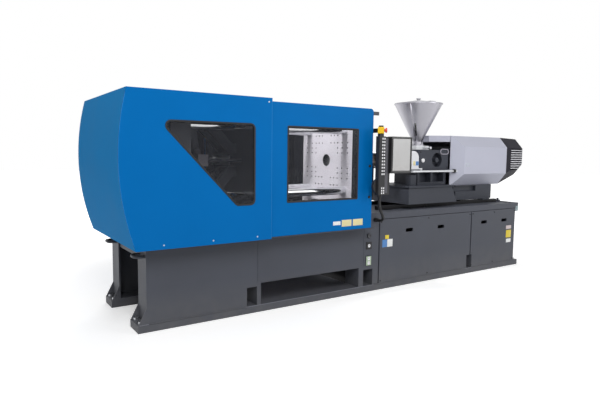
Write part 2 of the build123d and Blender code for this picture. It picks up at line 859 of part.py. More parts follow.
# Clamp motor: direct motor with its round bearing housing on the rear platen's back.
motor_length = 240.0
motor_half = 98.0
with BuildPart() as clamp_motor:
    motor_face = rear_x[0] - bearing_length
    rod_x((motor_face, rear_x[0]), 0, axis_z, 80)
    rod_x((motor_face, rear_x[0]), 0, axis_z, screw_radius + running_gap, Mode.SUBTRACT)
    with BuildSketch(Plane.YZ.offset(motor_face)):
        with Locations((0, axis_z)):
            RectangleRounded(2 * motor_half, 2 * motor_half, 24)
            with Locations((-motor_half, 0), (motor_half, 0)):
                with GridLocations(0, 28, 1, 5):
                    Rectangle(12, 10, mode=Mode.SUBTRACT)
    extrude(amount=-motor_length)
    block(
        (motor_face - motor_length, motor_face - motor_length + 80),
        (-40, 40),
        (axis_z + motor_half, axis_z + motor_half + 45),
    )
clamp_motor.part.label = "clamp_motor"
export_step(clamp_motor.part, "parts/clamp_motor.step")

# Ejector: crossbar around the screw with two rods through the moving platen.
ejector_bar_x = (moving_x[0] - 120.0, moving_x[0] - 100.0)
ejector_half_y = 150.0
with BuildPart() as ejector:
    block(ejector_bar_x, (-ejector_half_y, ejector_half_y), (axis_z - 38, axis_z + 38))
    rod_x(ejector_bar_x, 0, axis_z, screw_radius + 7, Mode.SUBTRACT)
    for side in (-1, 1):
        rod_x((ejector_bar_x[1], moving_face - 4), side * ejector_y, axis_z, ejector_rod)
ejector.part.label = "ejector"
export_step(ejector.part, "parts/ejector.step")

# Clamp cover: front sheet with its slanted window opening, curved end sheet, top sheet
# and rear sheet, seated on the rail shelves.
cover_foot_in = 43.0
cover_bulge_z = 1100.0
slant_top = (-2052.0, 1436.0)
slant_foot = (-1492.0, 860.0)
slant_right = -1348.0
slant_round = 34.0
frame_lap = 25.0


def end_arc(shift):
    """Curve of the cover's left end, moved along X by shift."""
    return ThreePointArc(
        (cover_left + shift, cover_top_z),
        (cover_left - cover_bulge + shift, cover_bulge_z),
        (cover_left + cover_foot_in + shift, cover_bottom_z),
    )


def side_sheet(y0):
    """Side sheet of the clamp cover, its outer or inner face at y0 towards +Y."""
    with BuildPart() as sheet:
        with BuildSketch(Plane.XZ.offset(-y0)):
            with BuildLine():
                end_arc(0)
                Polyline(
                    (cover_left + cover_foot_in, cover_bottom_z),
                    (cover_right, cover_bottom_z),
                    (cover_right, cover_top_z),
                    (cover_left, cover_top_z),
                )
            make_face()
        extrude(amount=-cover_sheet)
    return sheet


def slant_face(grow):
    """Outline of the slanted window, grown by the given lap."""
    with BuildSketch(Plane.XZ) as outline:
        with BuildLine():
            Polyline(
                slant_top,
                slant_foot,
                (slant_right, slant_foot[1]),
                (slant_right, slant_top[1]),
                close=True,
            )
        make_face()
        fillet(outline.vertices(), slant_round)
        if grow:
            offset(amount=grow)
    return outline


cover_inner = cover_half_width - cover_sheet
with BuildPart() as front_cover:
    add(side_sheet(-cover_half_width).part)
    with BuildSketch(Plane.XZ.offset(cover_half_width)):
        add(slant_face(0).sketch_local)
    extrude(amount=-cover_sheet, mode=Mode.SUBTRACT)
front_cover.part.label = "front_cover"
export_step(front_cover.part, "parts/front_cover.step")

with BuildPart() as end_cover:
    with BuildSketch(Plane.XZ.offset(-cover_inner)):
        with BuildLine():
            end_arc(0)
            Line((cover_left + cover_foot_in, cover_bottom_z), (cover_left + cover_foot_in + cover_sheet, cover_bottom_z))
            end_arc(cover_sheet)
            Line((cover_left + cover_sheet, cover_top_z), (cover_left, cover_top_z))
        make_face()
    extrude(amount=2 * cover_inner)
end_cover.part.label = "end_cover"
export_step(end_cover.part, "parts/end_cover.step")

with BuildPart() as cover_sheets:
    add(side_sheet(cover_inner).part)
    block(
        (cover_left + cover_sheet, cover_right),
        (-cover_inner, cover_inner),
        (cover_top_z - cover_sheet, cover_top_z),
    )
    block(
        (cover_right - 40, cover_right),
        (-cover_inner, cover_inner),
        (cover_top_z - 12, cover_top_z - cover_sheet),
    )
cover_sheets.part.label = "cover_sheets"
export_step(cover_sheets.part, "parts/cover_sheets.step")

with BuildPart() as clamp_window:
    with BuildSketch(Plane.XZ.offset(cover_inner)):
        add(slant_face(frame_lap).sketch_local)
    extrude(amount=-pane)
clamp_window.part.label = "clamp_window"
export_step(clamp_window.part, "parts/clamp_window.step")

# Gates: folded sheet frames with a window opening, open at the back, on rails.
gate_sheet = 5.0
gate_round = 30.0


def gate_frame(side):
    """Sliding gate of one side, its outer face at the gate half width."""
    outer = side * gate_half_width
    skin = side * (gate_half_width - gate_sheet)
    back = side * (gate_half_width - gate_depth)
    with BuildPart() as frame:
        with BuildSketch(Plane.XZ.offset(-min(outer, back))) as outline:
            with BuildLine():
                Polyline(
                    (gate_left, gate_bottom_z),
                    (gate_right, gate_bottom_z),
                    (gate_right, gate_top_z),
                    (gate_left, gate_top_z),
                    close=True,
                )
            make_face()
            corner = outline.vertices().group_by(Axis.X)[-1].sort_by(Axis.Z)[-1]
            fillet(corner, gate_round)
        extrude(amount=-gate_depth)
        block(
            (gate_left + gate_sheet, gate_right - gate_sheet),
            (min(skin, back), max(skin, back)),
            (gate_bottom_z + gate_sheet, gate_top_z - gate_round),
            Mode.SUBTRACT,
        )
        block(
            (window_left, window_right),
            (min(outer, skin), max(outer, skin)),
            (window_bottom_z, window_top_z),
            Mode.SUBTRACT,
        )
    return frame


def gate_pane(side):
    """Window pane lying against the inside of the gate's sheet."""
    skin = side * (gate_half_width - gate_sheet)
    inner = side * (gate_half_width - gate_sheet - pane)
    with BuildPart() as glass:
        block(
            (window_left - frame_lap, window_right + frame_lap),
            (min(skin, inner), max(skin, inner)),
            (window_bottom_z - frame_lap, window_top_z + frame_lap),
        )
    return glass


front_gate = gate_frame(-1)
front_gate.part.label = "front_gate"
export_step(front_gate.part, "parts/front_gate.step")
rear_gate = gate_frame(1)
rear_gate.part.label = "rear_gate"
export_step(rear_gate.part, "parts/rear_gate.step")
front_gate_window = gate_pane(-1)
front_gate_window.part.label = "front_gate_window"
export_step(front_gate_window.part, "parts/front_gate_window.step")
rear_gate_window = gate_pane(1)
rear_gate_window.part.label = "rear_gate_window"
export_step(rear_gate_window.part, "parts/rear_gate_window.step")

# Gate handle: upright grip bar on two feet at the gate's right edge.
handle_z = (869.0, 1131.0)
handle_bar = 8.0
handle_stand = 22.0
handle_y = -gate_half_width + 18.0
with BuildPart() as gate_handle:
    rod_z(gate_right + handle_stand, handle_y, handle_z, handle_bar)
    for z in handle_z:
        rod_x((gate_right, gate_right + handle_stand), handle_y, z, handle_bar)
        with Locations((gate_right + handle_stand, handle_y, z)):
            Sphere(handle_bar)
gate_handle.part.label = "gate_handle"
export_step(gate_handle.part, "parts/gate_handle.step")

# Gate rails: a shelf on each side of the deck with its running strip, and the upper
# guide bars on brackets from the fixed platen.
shelf = 6.0
shelf_inner = 400.0
strip_y = gate_half_width - gate_depth / 2
bar_depth = 12.0
bar_outer = gate_half_width - gate_depth - 4.0
guide_z = (1560.0, 1590.0)
bracket_z = (1430.0, 1590.0)
with BuildPart() as gate_rails:
    for side in (-1, 1):
        def across(a, b):
            """Limits along Y between the distances a and b, on this side."""
            return (min(side * a, side * b), max(side * a, side * b))

        shelf_z = (clamp_deck_z, clamp_deck_z + shelf)
        foot_x = cover_left + cover_foot_in + cover_sheet
        block((foot_x, cover_right), across(shelf_inner, cover_inner), shelf_z)
        block((cover_right, service_left), across(shelf_inner, gate_half_width - 4), shelf_z)
        strip_z = (clamp_deck_z + shelf, gate_bottom_z - face_gap)
        block((foot_x, service_left), across(strip_y - 6, strip_y + 6), strip_z)
        bar_x = (cover_left + cover_sheet, fixed_x[1] - 20)
        block(bar_x, across(bar_outer - bar_depth, bar_outer), guide_z)
        bracket_x = (fixed_x[0] + 20, fixed_x[0] + 60)
        block(bracket_x, across(bar_outer - bar_depth, bar_outer), bracket_z)
        block(bracket_x, across(platen_size / 2, bar_outer), (bracket_z[0], bracket_z[0] + 14))
gate_rails.part.label = "gate_rails"
export_step(gate_rails.part, "parts/gate_rails.step")

# Linear rails of the injection unit, bolted in the deck tray.
rail_x = (200.0, 2040.0)
rail_y = 200.0
rail_half = 20.0
tray_floor_z = unit_deck_z - plate / 2
rail_top_z = tray_floor_z + 36.0
with BuildPart() as unit_rails:
    for side in (-1, 1):
        block(rail_x, (side * rail_y - rail_half, side * rail_y + rail_half), (tray_floor_z, rail_top_z))
unit_rails.part.label = "unit_rails"
export_step(unit_rails.part, "parts/unit_rails.step")

# Base of the injection unit: flared plinth, beam and pedestal on four rail shoes.
plinth_x = (531.0, 1163.0)
plinth_flare = 36.0
plinth_half = 300.0
plinth_foot_z = rail_top_z + 12.0
plinth_top_z = 920.0
flange = 15.0
pedestal_x = (1319.0, 1932.0)
pedestal_half = 220.0
pedestal_recess = 336.0
pedestal_deep = 30.0
with BuildPart() as unit_base:
    with BuildSketch(Plane.XY.offset(plinth_foot_z)):
        with Locations((mid(plinth_x), 0)):
            Rectangle(plinth_x[1] - plinth_x[0] + 2 * plinth_flare, 2 * (plinth_half + plinth_flare))
    with BuildSketch(Plane.XY.offset(plinth_top_z - flange)):
        with Locations((mid(plinth_x), 0)):
            Rectangle(plinth_x[1] - plinth_x[0], 2 * plinth_half)
    loft()
    block(
        (plinth_x[0] - flange, plinth_x[1] + flange),
        (-plinth_half - flange, plinth_half + flange),
        (plinth_top_z - flange, plinth_top_z),
    )
    block((plinth_x[1], pedestal_x[1]), (-pedestal_half, pedestal_half), (plinth_foot_z, plinth_foot_z + 40))
    block(pedestal_x, (-pedestal_half, pedestal_half), (plinth_foot_z, drive_bottom_z))
    for side in (-1, 1):
        outer = side * pedestal_half
        inner = side * (pedestal_half - pedestal_deep)
        block(
            (pedestal_x[0], pedestal_x[0] + pedestal_recess),
            (min(outer, inner), max(outer, inner)),
            (drive_bottom_z - 66, drive_bottom_z - 8),
            Mode.SUBTRACT,
        )
        for x in (plinth_x[0] + 40, pedestal_x[1] - 160):
            shoe_y = (side * rail_y - 34, side * rail_y + 34)
            block((x, x + 120), shoe_y, (rail_top_z + face_gap, plinth_foot_z))
    block((626, 700), (-230, -160), (plinth_top_z, 1025))
unit_base.part.label = "unit_base"
export_step(unit_base.part, "parts/unit_base.step")

# Feed housing: webbed casting that holds the barrel and carries the hopper.
feed_low_z = 1075.0
feed_top_z = 1280.0
web_half = 165.0
barrel_hole = barrel_diameter / 2 + running_gap
throat = 40.0
port_x = 1045.0
port_radius = 74.0
port_depth = 60.0
with BuildPart() as feed_housing:
    feed_x = (feed_front_x, feed_rear_x)
    with BuildSketch(Plane.XY.offset(feed_low_z)):
        with Locations((mid(feed_x), 0)):
            RectangleRounded(feed_rear_x - feed_front_x, 2 * feed_half_width, 25)
    extrude(amount=feed_top_z - feed_low_z)
    block(
        (feed_front_x + 15, feed_rear_x - 15),
        (-web_half, web_half),
        (plinth_top_z, feed_low_z),
    )
    for side in (-1, 1):
        for x in (feed_front_x + 45, feed_front_x + 240):
            outer = side * web_half
            inner = side * (web_half - 70)
            block(
                (x, x + 165),
                (min(outer, inner), max(outer, inner)),
                (plinth_top_z + 28, feed_low_z - 24),
                Mode.SUBTRACT,
            )
        outer = side * feed_half_width
        inner = side * (feed_half_width - port_depth)
        rod_y(port_x, (min(outer, inner), max(outer, inner)), axis_z + 6, port_radius, Mode.SUBTRACT)
        inner = side * (feed_half_width - port_depth - 20)
        rod_y(port_x, (min(outer, inner), max(outer, inner)), axis_z + 6, port_radius / 3)
    rod_x(feed_x, 0, axis_z, barrel_hole, Mode.SUBTRACT)
    rod_z(hopper_x, 0, (axis_z, feed_top_z), throat, Mode.SUBTRACT)
feed_housing.part.label = "feed_housing"
export_step(feed_housing.part, "parts/feed_housing.step")

# Barrel: turned tube with end cap, nozzle and feed hole.
screw_bore = screw_diameter / 2 + running_gap
barrel_radius = barrel_diameter / 2
cap_x = nozzle_tip_x + 95.0
body_x = nozzle_tip_x + 150.0
with BuildPart() as barrel:
    with BuildSketch(Plane.XY.offset(axis_z)):
        with BuildLine():
            Polyline(
                (nozzle_tip_x, 4),
                (nozzle_tip_x, 12),
                (nozzle_tip_x + 22, 24),
                (nozzle_tip_x + 30, 32),
                (cap_x - 25, 32),
                (cap_x, barrel_radius + 8),
                (body_x, barrel_radius + 8),
                (body_x, barrel_radius),
                (feed_rear_x, barrel_radius),
                (feed_rear_x, screw_bore),
                (cap_x + 12, screw_bore),
                (cap_x - 8, 4),
                close=True,
            )
        make_face()
    revolve(axis=Axis((0, 0, axis_z), (1, 0, 0)))
    rod_z(hopper_x, 0, (axis_z, axis_z + barrel_radius + 1), 18, Mode.SUBTRACT)
    for band in range(4):
        start = body_x + 25 + 128 * band
        rod_x((start, start + 105), 0, axis_z, barrel_radius + 7)
        rod_x((start, start + 105), 0, axis_z, barrel_radius - 2, Mode.SUBTRACT)
        rod_x((start, start + 105), 0, axis_z, barrel_radius)
        rod_x((start, start + 105), 0, axis_z, screw_bore, Mode.SUBTRACT)
barrel.part.label = "barrel"
export_step(barrel.part, "parts/barrel.step")

# Screw: flighted bar that fills the bore, with its pointed tip and keyed shank.
shank_end_x = 1345.0
tip_x = cap_x + 18.0
with BuildPart() as screw:
    with BuildSketch(Plane.XY.offset(axis_z)):
        with BuildLine():
            Polyline(
                (tip_x, 0),
                (tip_x + 24, screw_diameter / 2 - 2),
                (tip_x + 40, screw_diameter / 2 - 2),
                (tip_x + 40, screw_diameter / 2),
                (tip_x + 70, screw_diameter / 2),
                (tip_x + 70, screw_diameter / 2 - 5),
                (feed_rear_x - 200, screw_diameter / 2 - 8),
                (feed_rear_x - 60, screw_diameter / 2 - 8),
                (feed_rear_x - 60, screw_diameter / 2),
                (shank_end_x, screw_diameter / 2),
                (shank_end_x, 0),
                close=True,
            )
        make_face()
    revolve(axis=Axis((0, 0, axis_z), (1, 0, 0)))
screw.part.label = "screw"
export_step(screw.part, "parts/screw.step")

# Barrel guard: sheet hood over the hot barrel, rounded at its feed end, hinged at the
# rear rail.
guard_x = (290.0, 770.0)
guard_half = 205.0
guard_z = (1094.0, 1266.0)
guard_sheet = 3.0
guard_round = 70.0
guard_cut = 80.0
with BuildPart() as barrel_guard:
    block(guard_x, (-guard_half, guard_half), guard_z)
    ends = barrel_guard.edges().filter_by(Axis.Y).group_by(Axis.Z)[-1]
    fillet(ends, guard_round)
    long_edges = barrel_guard.edges().filter_by(Axis.X).group_by(Axis.Z)[-1]
    fillet(long_edges, 18)
    bottom = barrel_guard.faces().sort_by(Axis.Z)[0]
    offset(amount=-guard_sheet, openings=bottom)
    block(
        (guard_x[0], guard_x[0] + guard_round),
        (-guard_cut, guard_cut),
        (guard_z[0], axis_z + barrel_radius + 18),
        Mode.SUBTRACT,
    )
    block(
        (guard_x[1] - guard_round, guard_x[1]),
        (-guard_cut, guard_cut),
        (guard_z[0], axis_z + barrel_radius + 18),
        Mode.SUBTRACT,
    )
barrel_guard.part.label = "barrel_guard"
export_step(barrel_guard.part, "parts/barrel_guard.step")

# Guard rails: round bars along both sides of the feed housing with their brackets and
# the arms under the guard.
bar_y = 250.0
bar_z = 1062.0
bar_radius = 13.0
bar_x = (620.0, 1280.0)
guard_lip = 14.0
with BuildPart() as guard_rails:
    for side in (-1, 1):
        rod_x(bar_x, side * bar_y, bar_z, bar_radius)
        rod_x((bar_x[1] - 18, bar_x[1]), side * bar_y, bar_z, bar_radius + 5)
        near = side * web_half
        far = side * bar_y
        for x in (feed_front_x + 22, feed_rear_x - 40):
            block((x, x + 16), (min(near, far), max(near, far)), (bar_z - 9, bar_z + 9))
        lip_y = (min(side * (guard_half - guard_lip), side * guard_half), max(side * (guard_half - guard_lip), side * guard_half))
        block((guard_x[0], feed_front_x + 38), lip_y, (guard_z[0] - 12, guard_z[0] - face_gap))
        block((feed_front_x + 22, feed_front_x + 38), lip_y, (bar_z + 9, guard_z[0] - 12))
guard_rails.part.label = "guard_rails"
export_step(guard_rails.part, "parts/guard_rails.step")

# Injection plate with the screw's bearing and the screw motor behind it.
plate_x = (1330.0, 1390.0)
plate_half_y = 190.0
plate_half_z = 150.0
bar_spread = (150.0, 110.0)
drive_bar = 20.0
motor_back_x = 1640.0
with BuildPart() as injection_plate:
    block(plate_x, (-plate_half_y, plate_half_y), (axis_z - plate_half_z, axis_z + plate_half_z))
    rod_x((plate_x[0], shank_end_x + face_gap), 0, axis_z, screw_bore, Mode.SUBTRACT)
    rod_x((plate_x[1], motor_back_x), 0, axis_z, 85)
    for y in (-bar_spread[0], bar_spread[0]):
        for z in (-bar_spread[1], bar_spread[1]):
            rod_x(plate_x, y, axis_z + z, drive_bar + running_gap, Mode.SUBTRACT)
injection_plate.part.label = "injection_plate"
export_step(injection_plate.part, "parts/injection_plate.step")

# Drive frame: four guide bars from the feed housing to the end plate, its foot on the
# pedestal and the injection motor.
end_plate_x = (1800.0, 1850.0)
with BuildPart() as drive_frame:
    block(end_plate_x, (-plate_half_y, plate_half_y), (drive_bottom_z + cover_wall, axis_z + plate_half_z))
    for y in (-bar_spread[0], bar_spread[0]):
        for z in (-bar_spread[1], bar_spread[1]):
            rod_x((feed_rear_x, end_plate_x[0]), y, axis_z + z, drive_bar)
    rod_x((end_plate_x[1], end_plate_x[1] + 200), 0, axis_z, 90)
drive_frame.part.label = "drive_frame"
export_step(drive_frame.part, "parts/drive_frame.step")

# Drive cover: eight-sided sheet housing with chamfered front corners and a tapered hood,
# open at the front, and its dark louvred tail.
chamfer_y = 100.0
chamfer_top = 112.0
chamfer_low = 125.0
nose = 104.0
tail_half = 258.0
tail_low_z = 1004.0
tail_top_z = 1424.0
louvre_count = 10
louvre_z = (1072.0, 1302.0)
louvre_x = (2178.0, 2402.0)
louvre_slot = 12.0


def octagon(half, low, top, inset):
    """Eight-sided section about the middle plane, pulled in by the wall inset."""
    side = half - inset
    flat = half - chamfer_y - inset * 0.41
    with BuildSketch(Plane.YZ) as section:
        with BuildLine():
            Polyline(
                (-flat, low + inset),
                (flat, low + inset),
                (side, low + chamfer_low + inset * 0.41),
                (side, top - chamfer_top - inset * 0.41),
                (flat, top - inset),
                (-flat, top - inset),
                (-side, top - chamfer_top - inset * 0.41),
                (-side, low + chamfer_low + inset * 0.41),
                close=True,
            )
        make_face()
    return section


def drive_hull(inset, front, rear):
    """Eight-sided prism from front to rear with both front corners chamfered."""
    half = drive_half_width - inset
    with BuildPart() as hull:
        with BuildSketch(Plane.YZ.offset(front)):
            add(octagon(drive_half_width, drive_bottom_z, drive_top_z, inset).sketch_local)
        extrude(amount=rear - front)
        with BuildSketch(Plane.XY.offset(drive_bottom_z)):
            with BuildLine():
                Polyline(
                    (front, -half + nose),
                    (front + nose, -half),
                    (rear, -half),
                    (rear, half),
                    (front + nose, half),
                    (front, half - nose),
                    close=True,
                )
            make_face()
        extrude(amount=drive_top_z - drive_bottom_z, mode=Mode.INTERSECT)
    return hull


hood_front_x = 1060.0
hood_low_z = 1368.0
hood_half = (60.0, 190.0)


def hood_block(inset, top):
    """Tapered block ahead of the drive cover, pulled in by the wall inset."""
    with BuildPart() as hood:
        with BuildSketch(Plane.XY.offset(hood_low_z)):
            with BuildLine():
                Polyline(
                    (hood_front_x + inset, hood_half[0] - inset),
                    (drive_front_x + cover_wall - inset, hood_half[1] - 1.5 * inset),
                    (drive_front_x + cover_wall - inset, -hood_half[1] + 1.5 * inset),
                    (hood_front_x + inset, -hood_half[0] + inset),
                    close=True,
                )
            make_face()
        extrude(amount=top - hood_low_z)
    return hood


with BuildPart() as drive_cover:
    add(drive_hull(0, drive_front_x, drive_rear_x).part)
    add(drive_hull(cover_wall, drive_front_x, drive_rear_x).part, mode=Mode.SUBTRACT)
    add(hood_block(0, drive_top_z).part)
    add(hood_block(cover_wall, drive_top_z - cover_wall).part, mode=Mode.SUBTRACT)
drive_cover.part.label = "drive_cover"
export_step(drive_cover.part, "parts/drive_cover.step")

with BuildPart() as drive_tail:
    with BuildSketch(Plane.YZ.offset(drive_rear_x)):
        add(octagon(drive_half_width, drive_bottom_z, drive_top_z, 0).sketch_local)
    with BuildSketch(Plane.YZ.offset(drive_tail_x)):
        add(octagon(tail_half, tail_low_z, tail_top_z, 0).sketch_local)
    loft()
    with BuildSketch(Plane.YZ.offset(drive_rear_x)):
        add(octagon(drive_half_width, drive_bottom_z, drive_top_z, cover_wall).sketch_local)
    with BuildSketch(Plane.YZ.offset(drive_tail_x - cover_wall)):
        add(octagon(tail_half, tail_low_z, tail_top_z, cover_wall).sketch_local)
    loft(mode=Mode.SUBTRACT)
    for number in range(louvre_count):
        z = louvre_z[0] + (louvre_z[1] - louvre_z[0]) * number / (louvre_count - 1)
        block(
            louvre_x,
            (-drive_half_width, drive_half_width),
            (z - louvre_slot / 2, z + louvre_slot / 2),
            Mode.SUBTRACT,
        )
drive_tail.part.label = "drive_tail"
export_step(drive_tail.part, "parts/drive_tail.step")

# Hopper slide: gate block with its outlet hole and pull knob, moving across the feed
# housing.
slide_half = (95.0, 80.0)
slide_top_z = hopper_neck_z - 12.0
with BuildPart() as hopper_slide:
    slide_z = (feed_top_z + face_gap, slide_top_z)
    block((hopper_x - slide_half[0], hopper_x + slide_half[0]), (-slide_half[1], slide_half[1]), slide_z)
    rod_z(hopper_x, 0, slide_z, throat, Mode.SUBTRACT)
    rod_y(hopper_x + 60, (-slide_half[1] - 40, -slide_half[1]), mid(slide_z), 6)
    rod_y(hopper_x + 60, (-slide_half[1] - 56, -slide_half[1] - 40), mid(slide_z), 14)
hopper_slide.part.label = "hopper_slide"
export_step(hopper_slide.part, "parts/hopper_slide.step")

# Hopper: rolled sheet cone with a rolled rim, a short neck and its bolted flange.
hopper_wall = 3.0
hopper_flange = 78.0
rim_r = hopper_rim / 2
neck_r = hopper_neck / 2
with BuildPart() as hopper:
    with BuildSketch(Plane.XZ):
        with BuildLine():
            Polyline(
                (neck_r - hopper_wall, slide_top_z),
                (hopper_flange, slide_top_z),
                (hopper_flange, hopper_neck_z),
                (neck_r, hopper_neck_z),
                (neck_r, hopper_neck_z + 30),
                (rim_r, hopper_rim_z),
                (rim_r + 5, hopper_rim_z),
                (rim_r + 5, hopper_rim_z + 8),
                (rim_r - hopper_wall, hopper_rim_z + 8),
                (neck_r - hopper_wall, hopper_neck_z + 32),
                close=True,
            )
        make_face()
    revolve(axis=Axis.Z)
hopper.part.label = "hopper"
hopper.part.position = (hopper_x, 0, 0)
export_step(hopper.part, "parts/hopper.step")

# Hopper lid: low spun cone with a knob and the level-switch box, hinged at the rear.
lid_z = hopper_rim_z + 8.0
lid_rise = 36.0
with BuildPart() as hopper_lid:
    with BuildSketch(Plane.XZ):
        with BuildLine():
            Polyline(
                (0, lid_z + lid_rise - 4),
                (40, lid_z + lid_rise - 4),
                (rim_r - 6, lid_z + face_gap),
                (rim_r + 7, lid_z + face_gap),
                (rim_r + 7, lid_z + 4),
                (rim_r - 6, lid_z + 4),
                (42, lid_z + lid_rise),
                (16, lid_z + lid_rise),
                (16, lid_z + lid_rise + 10),
                (24, lid_z + lid_rise + 14),
                (24, lid_z + lid_rise + 24),
                (0, lid_z + lid_rise + 28),
                close=True,
            )
        make_face()
    revolve(axis=Axis.Z)
    block((150, 226), (-34, 34), (lid_z + 4, lid_z + 44))
    block((-60, 60), (rim_r - 4, rim_r + 22), (lid_z + face_gap, lid_z + 6))
hopper_lid.part.label = "hopper_lid"
hopper_lid.part.position = (hopper_x, 0, 0)
export_step(hopper_lid.part, "parts/hopper_lid.step")

# Console post on two arms from the fixed platen, with the cable gland at its foot.
post_radius = post_diameter / 2
post_z = (890.0, 1470.0)
arm_low = (950.0, 985.0)
arm_high = (1412.0, 1447.0)
arm_half = 20.0
gland_radius = 19.0
cable_diameter = 25.0
cable_top_z = 878.0
with BuildPart() as console_post:
    rod_z(post_x, post_y, post_z, post_radius)
    rod_z(post_x, post_y, (cable_top_z, post_z[0]), gland_radius)
    for z in (arm_low, arm_high):
        block((post_x - arm_half, post_x + arm_half), (post_y, -platen_size / 2), z)
        rod_z(post_x, post_y, z, post_radius + 8)
console_post.part.label = "console_post"
export_step(console_post.part, "parts/console_post.step")

# Console housing: keypad column, recessed middle and screen box, swivelling on the post
# by two rings behind the keypad.
keypad_x = (-234.0, -162.0)
keypad_z = (893.0, 1378.0)
keypad_y = (console_front_y, post_y - 28)
screen_x = (-99.0, 143.0)
screen_z = (1070.0, 1380.0)
screen_y = (console_front_y, post_y - 24)
display_x = (-79.0, 123.0)
display_z = (1094.0, 1362.0)
display_deep = 3.0
middle_y = (post_y - 53, post_y - 30)
knuckle = (-205.0, 964.0)
knuckle_radius = 66.0
ring_radius = post_radius + 12.0
ring_z = ((1010.0, 1060.0), (1310.0, 1360.0))
with BuildPart() as console_housing:
    block(keypad_x, keypad_y, keypad_z)
    upright = console_housing.edges().filter_by(Axis.Z)
    fillet(upright, 8)
    with BuildPart(mode=Mode.PRIVATE) as screen_box:
        block(screen_x, screen_y, screen_z)
        fillet(screen_box.edges().filter_by(Axis.Y), 10)
    add(screen_box.part)
    block((keypad_x[1] - 10, screen_x[0] + 10), middle_y, (890, 1376))
    block(display_x, (console_front_y, console_front_y + display_deep), display_z, Mode.SUBTRACT)
    rod_y(knuckle[0], middle_y, knuckle[1], knuckle_radius)
    for z in ring_z:
        rod_z(post_x, post_y, z, ring_radius)
        block((post_x - 20, post_x + 20), (keypad_y[1] - 10, post_y), z)
        rod_z(post_x, post_y, z, post_radius + running_gap, Mode.SUBTRACT)
    block((-222, -180), (middle_y[0] - 15, middle_y[0] + 15), (keypad_z[1], keypad_z[1] + 22))
console_housing.part.label = "console_housing"
export_step(console_housing.part, "parts/console_housing.step")

# Display pane in the screen box.
with BuildPart() as display:
    block(display_x, (console_front_y + 0.5, console_front_y + display_deep), display_z)
display.part.label = "display"
export_step(display.part, "parts/display.step")

# Stop-button box on the keypad column, its button facing outwards to the right.
stop_centre = (-200.0, middle_y[0], 1427.0)
stop_plane = Plane(origin=stop_centre, x_dir=(0, 0, 1), z_dir=(1, -1, 0))
stop_half = 27.0
stop_deep = 50.0
stop_stem = 11.0
button_radius = 20.0
with BuildPart() as stop_box:
    with BuildSketch(stop_plane.offset(-stop_deep / 2)):
        RectangleRounded(2 * stop_half, 2 * stop_half, 5)
    extrude(amount=stop_deep)
    with BuildSketch(stop_plane.offset(stop_deep / 2 - 30)):
        Circle(stop_stem + running_gap)
    extrude(amount=30, mode=Mode.SUBTRACT)
stop_box.part.label = "stop_box"
export_step(stop_box.part, "parts/stop_box.step")

with BuildPart() as stop_button:
    with BuildSketch(stop_plane.offset(stop_deep / 2 - 20)):
        Circle(stop_stem)
    extrude(amount=30)
    with BuildSketch(stop_plane.offset(stop_deep / 2 + 10)):
        Circle(button_radius)
    extrude(amount=16)
    fillet(stop_button.faces().sort_by(Axis(stop_centre, (1, -1, 0)))[-1].edges(), 8)
stop_button.part.label = "stop_button"
export_step(stop_button.part, "parts/stop_button.step")

# Console cable: from the gland under the post down and into the service column.
cable_route = [
    (-150.0, -612.0, 878.0),
    (-150.0, -612.0, 812.0),
    (-130.0, -608.0, 751.0),
    (-88.0, -594.0, 705.0),
    (-50.0, -562.0, 668.0),
    (-28.0, -512.0, 646.0),
    (-28.0, -460.0, 646.0),
]


def route_radii(points):
    """Arc radius at each corner: 0.45 of the shorter run over the tangent of half the turn."""
    radii = []
    for a, b, c in zip(points, points[1:], points[2:]):
        first = Vector(*b) - Vector(*a)
        second = Vector(*c) - Vector(*b)
        turn = radians(first.get_angle(second))
        radii.append(0.45 * min(first.length, second.length) / tan(turn / 2))
    return radii


print("cable radii", [round(r) for r in route_radii(cable_route)])
with BuildPart() as cable:
    with BuildLine() as cable_line:
        FilletPolyline(*cable_route, radius=route_radii(cable_route))
    with BuildSketch(Plane(origin=cable_line.line @ 0, z_dir=cable_line.line % 0)):
        Circle(cable_diameter / 2)
    sweep(path=cable_line.line)
print("cable length", round(sum(edge.length for edge in cable_line.line.edges()), 1))
cable.part.label = "cable"
export_step(cable.part, "parts/cable.step")
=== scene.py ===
import bpy
import math
import numpy as np
from mathutils import Matrix


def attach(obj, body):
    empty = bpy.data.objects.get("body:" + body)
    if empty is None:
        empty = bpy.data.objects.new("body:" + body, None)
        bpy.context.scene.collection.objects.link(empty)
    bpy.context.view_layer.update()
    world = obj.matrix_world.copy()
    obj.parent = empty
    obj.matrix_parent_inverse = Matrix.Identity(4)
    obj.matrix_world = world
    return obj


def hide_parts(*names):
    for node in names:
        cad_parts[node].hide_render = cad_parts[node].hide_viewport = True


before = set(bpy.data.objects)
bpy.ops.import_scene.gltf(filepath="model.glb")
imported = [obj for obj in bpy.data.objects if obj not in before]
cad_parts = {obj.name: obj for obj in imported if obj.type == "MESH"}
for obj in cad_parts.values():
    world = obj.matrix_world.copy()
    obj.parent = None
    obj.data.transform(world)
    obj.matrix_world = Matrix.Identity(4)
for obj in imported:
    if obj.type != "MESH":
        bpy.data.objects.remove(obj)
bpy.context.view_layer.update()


# Camera
# It stands at the operator's side beyond the clamp end, a little below head height. Its place and
# angles follow the corners of the covers and the bed in the photograph.
camera_place = (-3.15884, -3.80836, 1.23452)
turn, fall, tilt = (math.radians(angle) for angle in (33.539, 5.279, 0.617))
look = np.array((math.sin(turn) * math.cos(fall), math.cos(turn) * math.cos(fall), -math.sin(fall)))
level = np.array((math.cos(turn), -math.sin(turn), 0.0))
rise = np.cross(level, look)
across = math.cos(tilt) * level + math.sin(tilt) * rise
upward = math.cos(tilt) * rise - math.sin(tilt) * level
lens = bpy.data.cameras.new("photo_camera")
lens.sensor_width = 36.0
lens.lens = 30.674
lens.shift_x = 0.01347
lens.shift_y = -0.00488
